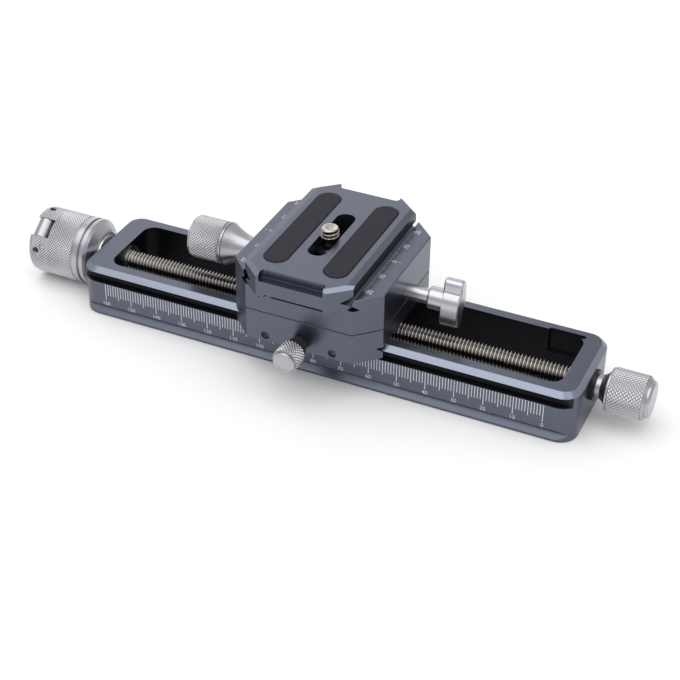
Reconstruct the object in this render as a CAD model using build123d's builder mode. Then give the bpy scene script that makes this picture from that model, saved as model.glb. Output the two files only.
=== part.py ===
from build123d import *
import math
import os

# Two-axis macro focus rail. X runs along the rail, Y away from the user, Z up.
# The origin is the middle of the rail on its underside. Millimetres.

# fits
running_gap = 0.05
fixing_gap = 0.02
slide_gap = 0.05
overcut = 1.0

# rail
rail_length = 180.6
rail_width = 38.0
rail_height = 19.1
rail_corner_r = 6.5
rail_top_chamfer = 1.8
rail_bottom_chamfer = 0.4
guide_depth = 2.0
guide_land = 1.1
guide_lower_rise = 0.7
foot_top_z = 4.64
foot_root_z = 2.82
foot_flange_z = 1.0
left_wall = 9.2
right_wall = 7.1
side_wall = 5.1
window_corner_r = 4.5
relief_length = 12.6
relief_end_gap = 0.3
relief_depth = 1.0
relief_corner_r = 0.9
relief_bottom_z = 10.0

# lead screw and its bearings
screw_z = 12.1
thread_r = 4.0
thread_chamfer = 0.5
journal_r = 3.0
journal_chamfer = 0.4
bearing_r = 5.0
left_flange_r = 7.2
left_flange_width = 0.9
right_flange_r = 5.2
right_flange_width = 1.3
washer_r = 5.6
washer_thickness = 0.5

# set screws
set_screw_r = 1.5
hex_r = 0.9
hex_depth = 1.2
left_set_screw_length = 6.5
right_set_screw_length = 4.0

# left knob with the folding crank
knob_gap = 0.1
knob_edge = 0.8
knurl_depth = 0.3
left_knob_r = 12.0
left_knob_length = 25.2
left_knurl_length = 17.9
left_ring_length = 2.3
left_groove_width = 1.0
left_groove_depth = 0.8
left_band_length = 1.2
left_shoulder_length = 1.0
left_shoulder_drop = 0.9
left_knob_inner_r = 8.0
left_set_screw_inset = 1.6
left_screw_inset = 8.5
crank_angle = 125.5
crank_slot_width = 7.2
crank_slot_depth = 7.5
crank_pin_inset = 3.0
crank_pin_offset = 8.15
crank_pin_r = 1.1
crank_pin_length = 17.2
crank_barrel_r = 3.0
crank_width = 6.9
crank_thickness = 5.2
crank_tip = 10.4
crank_bevel = 0.6
crank_tip_bevel = 1.4
crank_heel = 2.0
plunger_angle = 161.0
plunger_inset = 5.4
plunger_r = 1.1
plunger_tip = 7.7
plunger_outer = 11.2

# right knob
right_knob_r = 7.5
right_neck_r = 4.0
right_neck_length = 4.4
right_neck_straight = 1.6
right_neck_sag = 0.45
right_knurl_length = 11.7
right_cap_length = 2.2
right_cap_r = 6.3
right_knob_edge = 0.7
right_set_screw_inset = 5.0
right_screw_inset = 4.0

# carriage block, an octagon in plan
carriage_x = -1.45
block_length = 53.3
block_overhang = 8.2
block_corner_cut = 7.7
block_edge = 0.25
carriage_skirt = 4.1
carriage_thickness = 7.0
front_flank_gap = 0.5
front_lip_reach = 1.6
back_lip_reach = 1.7
gib_thickness = 1.5
gib_length = 40.0
gib_bottom_gap = 0.95
gib_top_gap = 0.65
gib_screw_offset = 12.05
gib_screw_drop = 2.0
gib_screw_recess = 1.8
cone_tip_r = 0.05

# nut under the carriage
nut_length = 30.0
nut_half_width = 10.0
nut_bottom_z = 5.2
nut_corner_r = 3.0
nut_screw_x = 9.5
nut_screw_y = 7.0
nut_screw_bottom_z = 9.0
m3_r = 1.5
m3_hole_r = 1.6
m3_head_r = 2.75
m3_head_height = 3.0
m3_bore_r = 3.0
m3_socket_r = 1.45
m3_socket_depth = 1.5
m3_head_gap = 0.1
m3_tip_gap = 0.2

# front lock of the carriage
lock_offset = 0.65
lock_drop = 1.1
lock_stud_r = 2.0
lock_stud_inset = 0.5
lock_collar_r = 4.0
lock_collar_gap = 0.4
lock_collar_length = 4.9
lock_knob_r = 4.5
lock_knob_length = 6.8
lock_face_length = 0.6

# cross slide base with the two scale strips
cross_base_height = 13.3
strip_gap = 0.7
strip_point_drop = 1.7
undercut_gap = 2.3
ledge_drop = 4.1
neck_x = 11.45
key_depth = 2.45
floor_drop = 0.45
floor_half_width = 10.4
floor_offset = 1.0
clamp_slit_x = 20.35
clamp_slit_width = 0.6
clamp_slit_rise = 0.9
corner_relief_width = 2.0
corner_relief_drop = 1.5
base_screw_x = 6.5
base_screw_inset = 8.2
base_screw_sink = 0.2
base_screw_reach = 5.7

# rack and pinion
pinion_rise = 3.9
gear_module = 0.5
pinion_teeth = 12
pressure_angle = 20.0
flank_steps = 5
tooth_backlash = 0.06
rack_addendum = 0.35
root_clearance = 0.15
rack_left = -8.75
rack_width = 3.0
rack_body = 2.8
rack_end_inset = 1.2
rack_plain_end = 3.2
rack_screw_inset = 1.6
rack_screw_r = 0.8
rack_screw_head_r = 1.15
rack_screw_head_height = 0.9
rack_screw_length = 5.85
pinion_left_inset = 0.15
pinion_right_inset = 0.1
pinion_bore_r = 3.6
shaft_r = 2.5
tail_r = 1.8
tail_reach = 6.45
tail_end_gap = 0.1
bush_r = 3.5
bush_length = 11.6
lock_pad_length = 3.0
lock_pad_r = 2.4

# knob on the pinion shaft
cross_knob_gap = 0.3
cross_knob_r = 7.4
cross_knob_length = 25.3
cross_knurl_length = 11.8
cross_groove_r = 6.8
cross_groove_width = 0.55
cross_ring_width = 0.5
cross_neck_r = 3.8
cross_neck_sag = 0.9
cross_shaft_inset = 3.0
cross_set_screw_inset = 7.0

# wing screw on the right
wing_rise = 3.3
wing_stud_r = 2.6
wing_standoff = 7.6
wing_length = 11.5
wing_hub_r = 4.2
wing_hub_edge = 0.5
wing_blade_inset = 5.2
wing_half_span = 9.0
wing_thickness = 4.4
wing_corner_r = 1.2
wing_edge = 0.5
wing_tilt = 19.0
wing_stud_grip = 4.0

# top plate
plate_offset = -0.55
plate_thickness = 8.75
plate_half_width = 19.15
nose_reach = 4.7
nose_half_width = 12.2
shoulder_inset = 1.5
plate_bevel_in = 2.25
plate_bevel_down = 0.42
nose_bevel = 1.25
side_groove_top_drop = 4.1
side_groove_drop = 5.7
side_groove_depth = 3.5
plate_foot_drop = 7.6
plate_foot_inset = 0.25
plate_foot_bottom_inset = 1.1
nose_relief_height = 1.15
end_notch_half_width = 11.25
end_notch_inset = 3.2
end_notch_depth = 3.0
end_notch_r = 1.4
pad_offset = 10.6
pad_width = 8.4
pad_length = 48.2
pad_thickness = 1.2
pad_recess_depth = 0.9
pad_recess_gap = 0.15
pad_edge = 0.25

# camera screw in its slot
slot_half_width = 3.3
slot_front_y = -14.6
slot_back_y = 13.7
slot_ledge_drop = 4.1
slot_pocket_half_width = 5.05
camera_y = -2.0
camera_r = 3.175
camera_shank_r = 2.9
camera_thread_length = 3.4
camera_tip_chamfer = 0.5
camera_head_r = 4.8
camera_head_height = 2.1
camera_guide_r = 4.95
camera_guide_thickness = 1.4
camera_socket_r = 2.3
camera_socket_depth = 1.6

# rail places
rail_end_x = rail_length / 2
rail_side_y = rail_width / 2
guide_edge_z = rail_height - rail_top_chamfer
guide_root_y = rail_side_y - guide_depth
guide_root_top_z = guide_edge_z - guide_depth
guide_root_bottom_z = guide_root_top_z - guide_land
guide_lower_z = guide_root_bottom_z - guide_lower_rise
foot_root_y = rail_side_y - (foot_root_z - foot_flange_z)
window_left_x = left_wall - rail_end_x
window_right_x = rail_end_x - right_wall
window_half_width = rail_side_y - side_wall
relief_x = window_right_x - relief_end_gap - relief_length / 2

# screw and knob places
screw_plane = Plane.XY.offset(screw_z)
screw_axis = Axis((0, 0, screw_z), (1, 0, 0))
screw_shoulder_left = window_left_x + washer_thickness + running_gap
screw_shoulder_right = window_right_x - washer_thickness - running_gap
left_knob_inner_x = -rail_end_x - left_flange_width - knob_gap
left_knob_end_x = left_knob_inner_x - left_knob_length
left_knurl_end_x = left_knob_end_x + left_knurl_length
left_groove_start_x = left_knurl_end_x + left_ring_length
left_groove_end_x = left_groove_start_x + left_groove_width
left_cone_start_x = left_groove_end_x + left_band_length
screw_left_x = left_knob_end_x + left_screw_inset
crank_pin_x = left_knob_end_x + crank_pin_inset
plunger_x = left_knob_end_x + plunger_inset
right_neck_x = rail_end_x + right_flange_width + knob_gap
right_knurl_start_x = right_neck_x + right_neck_length
right_knurl_end_x = right_knurl_start_x + right_knurl_length
right_knob_end_x = right_knurl_end_x + right_cap_length
screw_right_x = right_knob_end_x - right_screw_inset
crank_frame = Plane(
    origin=(crank_pin_x, 0, screw_z),
    x_dir=(0, math.cos(math.radians(crank_angle)), math.sin(math.radians(crank_angle))),
    z_dir=(-1, 0, 0),
)
crank_side = Plane(crank_frame.location * Location((0, 0, 0), (90, 0, 0)))
plunger_dir = (0, math.cos(math.radians(plunger_angle)), math.sin(math.radians(plunger_angle)))
plunger_plane = Plane(origin=(plunger_x, 0, screw_z), z_dir=plunger_dir)
left_set_screw_plane = Plane(
    origin=(left_knurl_end_x + left_set_screw_inset, 0, screw_z), z_dir=(0, 0, -1)
)
right_set_screw_plane = Plane(
    origin=(right_knurl_end_x - right_set_screw_inset, 0, screw_z), z_dir=(0, 0, -1)
)

# carriage places
plate_x = carriage_x + plate_offset
carriage_plane = Plane((carriage_x, 0, 0))
plate_plane = Plane((plate_x, 0, 0))
front_plane = Plane(origin=(carriage_x, 0, 0), x_dir=(1, 0, 0), z_dir=(0, -1, 0))
slide_plane = Plane(origin=(plate_x, 0, 0), x_dir=(1, 0, 0), z_dir=(0, -1, 0))
block_left_x = carriage_x - block_length / 2
block_right_x = carriage_x + block_length / 2
block_width = rail_width + 2 * block_overhang
block_side_y = block_width / 2
carriage_bottom_z = rail_height - carriage_skirt
split_z = rail_height + carriage_thickness
channel_ceiling_z = rail_height + slide_gap
guide_flank = rail_side_y - guide_edge_z
flank_gap = slide_gap * math.sqrt(2)
front_flank_offset = guide_flank + front_flank_gap
back_flank_offset = guide_flank + flank_gap
front_lip_y = rail_side_y - front_lip_reach
back_lip_y = rail_side_y - back_lip_reach
gib_bottom_z = carriage_bottom_z + gib_bottom_gap
gib_top_z = channel_ceiling_z - gib_top_gap
gib_inner_offset = guide_flank + flank_gap
gib_outer_offset = gib_inner_offset + gib_thickness * math.sqrt(2)
gib_screw_z = rail_height - gib_screw_drop
gib_screw_head_y = block_side_y - gib_screw_recess
pocket_z = split_z - m3_head_height - m3_head_gap
lock_x = carriage_x + lock_offset
lock_z = rail_height - lock_drop
lock_collar_inner_y = block_side_y + lock_collar_gap
lock_collar_outer_y = lock_collar_inner_y + lock_collar_length
lock_knob_outer_y = lock_collar_outer_y + lock_knob_length

# cross slide places
strip_top_z = split_z + cross_base_height
strip_point_z = strip_top_z - strip_point_drop
strip_inner_x = plate_half_width + strip_gap
undercut_x = plate_half_width + undercut_gap
ledge_z = strip_top_z - ledge_drop
land_z = ledge_z - key_depth
floor_z = land_z - floor_drop
key_flank_x = neck_x + key_depth
clamp_slit_bottom_z = split_z + clamp_slit_rise
corner_relief_z = land_z - corner_relief_drop
base_screw_y = block_side_y - base_screw_inset
base_screw_head_z = floor_z - base_screw_sink
base_screw_bottom_z = split_z - base_screw_reach
base_seat_z = base_screw_head_z - m3_head_height

# rack, pinion and wing screw places
pinion_z = split_z + pinion_rise
pinion_plane = Plane.XY.offset(pinion_z)
pinion_axis = Axis((0, 0, pinion_z), (1, 0, 0))
pinion_pitch_r = gear_module * pinion_teeth / 2
pinion_tip_r = pinion_pitch_r + gear_module
pinion_root_r = pinion_pitch_r - rack_addendum - root_clearance
pinion_left_x = plate_x + rack_left + pinion_left_inset
pinion_right_x = plate_x + rack_left + rack_width - pinion_right_inset
tail_right_x = carriage_x + tail_reach
bush_right_x = block_left_x + bush_length
rack_pitch = math.pi * gear_module
rack_pitch_z = pinion_z + pinion_pitch_r
rack_bottom_z = rack_pitch_z - rack_addendum
rack_top_z = rack_pitch_z + rack_body
rack_x = rack_left + rack_width / 2
rack_length = block_width - 2 * rack_end_inset
rack_screw_y = rack_length / 2 - rack_screw_inset
rack_head_z = rack_bottom_z + m3_head_gap
rack_section = Plane(origin=(plate_x + rack_left, 0, 0), x_dir=(0, 1, 0), z_dir=(1, 0, 0))
lock_pad_left_x = tail_right_x + running_gap
wing_z = split_z + wing_rise
wing_stud_left_x = lock_pad_left_x + lock_pad_length + running_gap
wing_hub_x = block_right_x + wing_standoff
wing_end_x = wing_hub_x + wing_length
wing_blade_x = wing_hub_x + wing_blade_inset
wing_plane = Plane(
    origin=(wing_blade_x, 0, wing_z),
    x_dir=(0, math.sin(math.radians(wing_tilt)), math.cos(math.radians(wing_tilt))),
    z_dir=(1, 0, 0),
)
cross_knob_inner_x = block_left_x - cross_knob_gap
cross_knob_end_x = cross_knob_inner_x - cross_knob_length
cross_knurl_end_x = cross_knob_end_x + cross_knurl_length
cross_ring_x = cross_knurl_end_x + cross_groove_width
cross_ring_end_x = cross_ring_x + cross_ring_width
cross_cone_x = cross_ring_end_x + cross_groove_width
cross_set_screw_plane = Plane(
    origin=(cross_knob_end_x + cross_set_screw_inset, 0, pinion_z), z_dir=(0, 0, -1)
)

# plate and camera screw places
plate_bottom_z = ledge_z + slide_gap
plate_top_z = plate_bottom_z + plate_thickness
plate_half_length = block_side_y + nose_reach
shoulder_y = block_side_y - shoulder_inset
key_bottom_z = land_z + slide_gap
relief_reach = nose_reach + overcut
notch_reach = end_notch_inset + 2 * end_notch_r
nose_relief_y = block_side_y + relief_reach / 2
notch_y = plate_half_length - end_notch_inset + notch_reach / 2
pad_bottom_z = plate_top_z - pad_recess_depth
pad_top_z = pad_bottom_z + pad_thickness
slot_y = (slot_front_y + slot_back_y) / 2
slot_length = slot_back_y - slot_front_y
slot_ledge_z = plate_top_z - slot_ledge_drop
camera_plane = Plane((plate_x, camera_y, 0))
camera_guide_z = slot_ledge_z - slide_gap - camera_guide_thickness
camera_seat_z = camera_guide_z - running_gap
camera_head_bottom_z = camera_seat_z - camera_head_height

os.makedirs("parts", exist_ok=True)

# RAIL: a rounded bar with a guide groove and a foot groove along both sides
with BuildPart() as rail_frame:
    with BuildSketch():
        RectangleRounded(rail_length, rail_width, rail_corner_r)
    extrude(amount=rail_height)
    chamfer(rail_frame.faces().sort_by(Axis.Z)[-1].edges(), rail_top_chamfer)
    chamfer(rail_frame.faces().sort_by(Axis.Z)[0].edges(), rail_bottom_chamfer)
    with BuildSketch(Plane.YZ.offset(-rail_end_x - overcut)) as guide_section:
        with BuildLine():
            Polyline(
                (rail_side_y, guide_edge_z),
                (guide_root_y, guide_root_top_z),
                (guide_root_y, guide_root_bottom_z),
                (rail_side_y, guide_lower_z),
                (rail_side_y + overcut, guide_lower_z),
                (rail_side_y + overcut, guide_edge_z),
                close=True,
            )
        make_face()
        mirror(about=Plane.YZ)
    extrude(amount=rail_length + 2 * overcut, mode=Mode.SUBTRACT)
    with BuildSketch(Plane.YZ.offset(-rail_end_x - overcut)) as foot_section:
        with BuildLine():
            Polyline(
                (rail_side_y, foot_top_z),
                (foot_root_y, foot_root_z),
                (rail_side_y, foot_flange_z),
                (rail_side_y + overcut, foot_flange_z),
                (rail_side_y + overcut, foot_top_z),
                close=True,
            )
        make_face()
        mirror(about=Plane.YZ)
    extrude(amount=rail_length + 2 * overcut, mode=Mode.SUBTRACT)
    # long window for the screw and the nut
    with BuildSketch():
        with Locations(((window_left_x + window_right_x) / 2, 0)):
            RectangleRounded(
                window_right_x - window_left_x, 2 * window_half_width, window_corner_r
            )
    extrude(amount=rail_height, mode=Mode.SUBTRACT)
    # shallow relief in the far wall
    with BuildSketch(Plane.XY.offset(relief_bottom_z)):
        with Locations((relief_x, window_half_width)):
            RectangleRounded(relief_length, 2 * relief_depth, relief_corner_r)
    extrude(amount=rail_height, mode=Mode.SUBTRACT)
    # bearing bores through both end walls
    with BuildSketch(Plane.YZ.offset(-rail_end_x - overcut)):
        with Locations((0, screw_z)):
            Circle(bearing_r)
    extrude(amount=rail_length + 2 * overcut, mode=Mode.SUBTRACT)

# LEFT BEARING: flanged bush seated on the outside of the left wall
with BuildPart() as left_bearing:
    with BuildSketch(screw_plane):
        with BuildLine():
            Polyline(
                (-rail_end_x - left_flange_width, journal_r + running_gap),
                (-rail_end_x - left_flange_width, left_flange_r),
                (-rail_end_x, left_flange_r),
                (-rail_end_x, bearing_r - fixing_gap),
                (window_left_x, bearing_r - fixing_gap),
                (window_left_x, journal_r + running_gap),
                close=True,
            )
        make_face()
    revolve(axis=screw_axis)

# RIGHT BEARING: flanged bush on the outside of the right wall
with BuildPart() as right_bearing:
    with BuildSketch(screw_plane):
        with BuildLine():
            Polyline(
                (rail_end_x + right_flange_width, journal_r + running_gap),
                (rail_end_x + right_flange_width, right_flange_r),
                (rail_end_x, right_flange_r),
                (rail_end_x, bearing_r - fixing_gap),
                (window_right_x, bearing_r - fixing_gap),
                (window_right_x, journal_r + running_gap),
                close=True,
            )
        make_face()
    revolve(axis=screw_axis)

# THRUST WASHERS between the screw's shoulders and the bushes
with BuildPart() as thrust_washers:
    with BuildSketch(
        Plane.YZ.offset(window_left_x), Plane.YZ.offset(window_right_x - washer_thickness)
    ):
        with Locations((0, screw_z)):
            Circle(washer_r)
            Circle(journal_r + running_gap, mode=Mode.SUBTRACT)
    extrude(amount=washer_thickness)

# LEAD SCREW: full diameter inside the window, turned down in the walls
with BuildPart() as lead_screw:
    with BuildSketch(screw_plane):
        with BuildLine():
            Polyline(
                (screw_left_x, 0),
                (screw_left_x, journal_r - journal_chamfer),
                (screw_left_x + journal_chamfer, journal_r),
                (screw_shoulder_left, journal_r),
                (screw_shoulder_left, thread_r - thread_chamfer),
                (screw_shoulder_left + thread_chamfer, thread_r),
                (screw_shoulder_right - thread_chamfer, thread_r),
                (screw_shoulder_right, thread_r - thread_chamfer),
                (screw_shoulder_right, journal_r),
                (screw_right_x - journal_chamfer, journal_r),
                (screw_right_x, journal_r - journal_chamfer),
                (screw_right_x, 0),
                close=True,
            )
        make_face()
    revolve(axis=screw_axis)

# LEFT KNOB: turned body with a knurled grip, slotted across its end for the crank
left_grip_r = left_knob_r - knurl_depth
with BuildPart() as left_knob:
    with BuildSketch(screw_plane):
        with BuildLine():
            Polyline(
                (left_knob_end_x, 0),
                (left_knob_end_x, left_knob_r - knob_edge),
                (left_knob_end_x + knob_edge - knurl_depth, left_grip_r),
                (left_knurl_end_x, left_grip_r),
                (left_knurl_end_x + knurl_depth, left_knob_r),
                (left_groove_start_x, left_knob_r),
                (left_groove_start_x, left_knob_r - left_groove_depth),
                (left_groove_end_x, left_knob_r - left_groove_depth),
                (left_groove_end_x, left_knob_r),
                (left_cone_start_x, left_knob_r),
                (left_cone_start_x + left_shoulder_length, left_knob_r - left_shoulder_drop),
                (left_knob_inner_x, left_knob_inner_r),
                (left_knob_inner_x, 0),
                close=True,
            )
        make_face()
    revolve(axis=screw_axis)
    # bore for the screw's end
    with BuildSketch(Plane.YZ.offset(screw_left_x)):
        with Locations((0, screw_z)):
            Circle(journal_r + fixing_gap)
    extrude(amount=left_knob_inner_x - screw_left_x + overcut, mode=Mode.SUBTRACT)
    # slot right across the end face
    with BuildSketch(crank_frame.offset(crank_pin_inset)):
        Rectangle(2 * left_knob_r + overcut, crank_slot_width)
    extrude(amount=-crank_slot_depth, mode=Mode.SUBTRACT)
    # cross hole for the crank's pin
    with BuildSketch(crank_side):
        with Locations((crank_pin_offset, 0)):
            Circle(crank_pin_r)
    extrude(amount=left_knob_r, both=True, mode=Mode.SUBTRACT)
    # radial holes for the spring plunger and for the set screw underneath
    with BuildSketch(plunger_plane):
        Circle(plunger_r + fixing_gap)
    extrude(amount=left_knob_r + overcut, mode=Mode.SUBTRACT)
    with BuildSketch(left_set_screw_plane):
        Circle(set_screw_r)
    extrude(amount=left_knob_r + overcut, mode=Mode.SUBTRACT)

# CRANK PIN: pressed in the knob, the crank turns on it
with BuildPart() as crank_pin:
    with BuildSketch(crank_side):
        with Locations((crank_pin_offset, 0)):
            Circle(crank_pin_r)
    extrude(amount=crank_pin_length / 2, both=True)

# CRANK PLUNGER: spring plunger that clicks against the side of the crank
with BuildPart() as crank_plunger:
    with BuildSketch(plunger_plane.offset(plunger_tip)):
        Circle(plunger_r)
    extrude(amount=plunger_outer - plunger_tip)

# CRANK HANDLE: barrel on the pin and an arm that lies in the slot
crank_lower = crank_barrel_r - crank_thickness
with BuildPart() as crank_handle:
    with BuildSketch(crank_side):
        with Locations((crank_pin_offset, 0)):
            Circle(crank_barrel_r)
        with BuildLine():
            Polyline(
                (crank_pin_offset, crank_barrel_r),
                (crank_bevel - crank_tip, crank_barrel_r),
                (-crank_tip, crank_barrel_r - crank_bevel),
                (-crank_tip, crank_lower + crank_tip_bevel),
                (crank_tip_bevel - crank_tip, crank_lower),
                (crank_pin_offset - crank_heel, crank_lower),
                (crank_pin_offset, 0),
                close=True,
            )
        make_face()
        with Locations((crank_pin_offset, 0)):
            Circle(crank_pin_r + running_gap, mode=Mode.SUBTRACT)
    extrude(amount=crank_width / 2, both=True)

# RIGHT KNOB: small knob on the other end of the screw
right_grip_r = right_knob_r - knurl_depth
right_curve_x = right_neck_x + right_neck_straight
with BuildPart() as right_knob:
    with BuildSketch(screw_plane):
        with BuildLine():
            Line((right_neck_x, 0), (right_neck_x, right_neck_r))
            Line((right_neck_x, right_neck_r), (right_curve_x, right_neck_r))
            SagittaArc(
                (right_curve_x, right_neck_r),
                (right_knurl_start_x - knurl_depth, right_grip_r),
                -right_neck_sag,
            )
            Polyline(
                (right_knurl_start_x - knurl_depth, right_grip_r),
                (right_knurl_end_x, right_grip_r),
                (right_knurl_end_x + right_knob_edge, right_knob_r - right_knob_edge),
                (right_knurl_end_x + right_knob_edge, right_cap_r),
                (right_knob_end_x - right_knob_edge, right_cap_r),
                (right_knob_end_x, right_cap_r - right_knob_edge),
                (right_knob_end_x, 0),
                (right_neck_x, 0),
            )
        make_face()
    revolve(axis=screw_axis)
    with BuildSketch(Plane.YZ.offset(right_neck_x - overcut)):
        with Locations((0, screw_z)):
            Circle(journal_r + fixing_gap)
    extrude(amount=screw_right_x - right_neck_x + overcut, mode=Mode.SUBTRACT)
    with BuildSketch(right_set_screw_plane):
        Circle(set_screw_r)
    extrude(amount=right_knob_r + overcut, mode=Mode.SUBTRACT)

# KNOB SET SCREWS: one under each knob, its tip on the screw's journal
with BuildPart() as knob_set_screws:
    with BuildSketch(left_set_screw_plane.offset(journal_r)):
        Circle(set_screw_r - fixing_gap)
    extrude(amount=left_set_screw_length)
    with BuildSketch(right_set_screw_plane.offset(journal_r)):
        Circle(set_screw_r - fixing_gap)
    extrude(amount=right_set_screw_length)
    with BuildSketch(
        left_set_screw_plane.offset(journal_r + left_set_screw_length),
        right_set_screw_plane.offset(journal_r + right_set_screw_length),
    ):
        RegularPolygon(hex_r, 6)
    extrude(amount=-hex_depth, mode=Mode.SUBTRACT)

# CARRIAGE BASE: lower block that rides on the rail
with BuildPart() as carriage_base:
    with BuildSketch(carriage_plane.offset(carriage_bottom_z)) as block_plan:
        Rectangle(block_length, block_width)
        chamfer(block_plan.vertices(), block_corner_cut)
    extrude(amount=split_z - carriage_bottom_z)
    chamfer(carriage_base.faces().sort_by(Axis.Z)[-1].edges(), block_edge)
    # channel over the rail, with a dovetail flank on each side
    with BuildSketch(Plane.YZ.offset(carriage_x)) as channel_section:
        with BuildLine():
            Polyline(
                (-front_lip_y, carriage_bottom_z - overcut),
                (-front_lip_y, front_lip_y - front_flank_offset),
                (-front_flank_offset - channel_ceiling_z, channel_ceiling_z),
                (back_flank_offset + channel_ceiling_z, channel_ceiling_z),
                (back_lip_y, back_lip_y - back_flank_offset),
                (back_lip_y, carriage_bottom_z - overcut),
                close=True,
            )
        make_face()
    extrude(amount=block_length, both=True, mode=Mode.SUBTRACT)
    # pocket for the gib in the front flank
    with BuildSketch(Plane.YZ.offset(carriage_x)):
        with BuildLine():
            Polyline(
                (-gib_outer_offset - gib_bottom_z, gib_bottom_z),
                (-gib_outer_offset - channel_ceiling_z, channel_ceiling_z),
                (-guide_flank - channel_ceiling_z, channel_ceiling_z),
                (-guide_flank - gib_bottom_z, gib_bottom_z),
                close=True,
            )
        make_face()
    extrude(amount=gib_length / 2 + slide_gap, both=True, mode=Mode.SUBTRACT)
    # two tapped holes for the gib's set screws and one for the lock
    with BuildSketch(front_plane.offset(block_side_y)):
        with Locations((-gib_screw_offset, gib_screw_z), (gib_screw_offset, gib_screw_z)):
            Circle(set_screw_r)
    extrude(amount=gib_outer_offset + gib_screw_z - block_side_y, mode=Mode.SUBTRACT)
    with BuildSketch(front_plane.offset(block_side_y)):
        with Locations((lock_offset, lock_z)):
            Circle(lock_stud_r + running_gap)
    extrude(amount=gib_outer_offset + lock_z - block_side_y, mode=Mode.SUBTRACT)
    # counterbored holes for the nut's screws
    with Locations(carriage_plane.offset(split_z)):
        with GridLocations(2 * nut_screw_x, 2 * nut_screw_y, 2, 2):
            CounterBoreHole(m3_hole_r, m3_bore_r, m3_head_height + m3_head_gap)
    # tapped holes for the screws of the cross base
    with Locations(carriage_plane.offset(split_z)):
        with GridLocations(2 * base_screw_x, 2 * base_screw_y, 2, 2):
            Hole(m3_r + fixing_gap, depth=base_screw_reach + m3_tip_gap)

# CARRIAGE GIB: bar between the carriage and the rail's front guide edge
with BuildPart() as carriage_gib:
    with BuildSketch(Plane.YZ.offset(carriage_x)):
        with BuildLine():
            Polyline(
                (-gib_outer_offset - gib_bottom_z, gib_bottom_z),
                (-gib_outer_offset - gib_top_z, gib_top_z),
                (-gib_inner_offset - gib_top_z, gib_top_z),
                (-gib_inner_offset - gib_bottom_z, gib_bottom_z),
                close=True,
            )
        make_face()
    extrude(amount=gib_length / 2, both=True)

# GIB SET SCREWS: cone points that touch the gib's sloping back
gib_screw_shoulder_y = gib_outer_offset + gib_screw_z + set_screw_r
with BuildPart() as gib_set_screws:
    with BuildSketch(front_plane.offset(gib_screw_shoulder_y)):
        with Locations((-gib_screw_offset, gib_screw_z), (gib_screw_offset, gib_screw_z)):
            Circle(set_screw_r - fixing_gap)
    extrude(amount=gib_screw_head_y - gib_screw_shoulder_y)
    extrude(
        gib_set_screws.faces().filter_by(Axis.Y).sort_by(Axis.Y)[-2:],
        amount=set_screw_r - fixing_gap - cone_tip_r,
        taper=45,
    )
    with BuildSketch(front_plane.offset(gib_screw_head_y)):
        with Locations((-gib_screw_offset, gib_screw_z), (gib_screw_offset, gib_screw_z)):
            RegularPolygon(hex_r, 6)
    extrude(amount=-hex_depth, mode=Mode.SUBTRACT)

# LEAD NUT: block under the carriage that runs on the screw
with BuildPart() as lead_nut:
    with BuildSketch(Plane.YZ.offset(carriage_x)) as nut_section:
        with Locations((0, (nut_bottom_z + channel_ceiling_z) / 2)):
            Rectangle(2 * nut_half_width, channel_ceiling_z - nut_bottom_z)
        fillet(nut_section.vertices().sort_by(Axis.Y)[:2], nut_corner_r)
        with Locations((0, screw_z)):
            Circle(thread_r + running_gap, mode=Mode.SUBTRACT)
    extrude(amount=nut_length / 2, both=True)
    with Locations(carriage_plane.offset(channel_ceiling_z)):
        with GridLocations(2 * nut_screw_x, 2 * nut_screw_y, 2, 2):
            Hole(
                m3_r + fixing_gap,
                depth=channel_ceiling_z - nut_screw_bottom_z + m3_tip_gap,
            )

# LEAD NUT SCREWS: socket head screws down through the carriage base
with BuildPart() as lead_nut_screws:
    with BuildSketch(carriage_plane.offset(nut_screw_bottom_z)):
        with GridLocations(2 * nut_screw_x, 2 * nut_screw_y, 2, 2):
            Circle(m3_r)
    extrude(amount=pocket_z - nut_screw_bottom_z)
    with BuildSketch(carriage_plane.offset(pocket_z)):
        with GridLocations(2 * nut_screw_x, 2 * nut_screw_y, 2, 2):
            Circle(m3_head_r)
    extrude(amount=m3_head_height)
    with BuildSketch(carriage_plane.offset(pocket_z + m3_head_height)):
        with GridLocations(2 * nut_screw_x, 2 * nut_screw_y, 2, 2):
            RegularPolygon(m3_socket_r, 6)
    extrude(amount=-m3_socket_depth, mode=Mode.SUBTRACT)

# LOCK STUD: its cone point presses on the gib to hold the carriage
lock_shoulder_y = gib_outer_offset + lock_z + lock_stud_r
with BuildPart() as lock_stud:
    with BuildSketch(front_plane.offset(lock_shoulder_y)):
        with Locations((lock_offset, lock_z)):
            Circle(lock_stud_r)
    extrude(amount=lock_collar_outer_y - lock_stud_inset - lock_shoulder_y)
    extrude(
        lock_stud.faces().sort_by(Axis.Y)[-1], amount=lock_stud_r - cone_tip_r, taper=45
    )

# LOCK COLLAR: dark ring between the block and the knurled head
with BuildPart() as lock_collar:
    with BuildSketch(front_plane.offset(lock_collar_inner_y)):
        with Locations((lock_offset, lock_z)):
            Circle(lock_collar_r)
            Circle(lock_stud_r, mode=Mode.SUBTRACT)
    extrude(amount=lock_collar_length)

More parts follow.
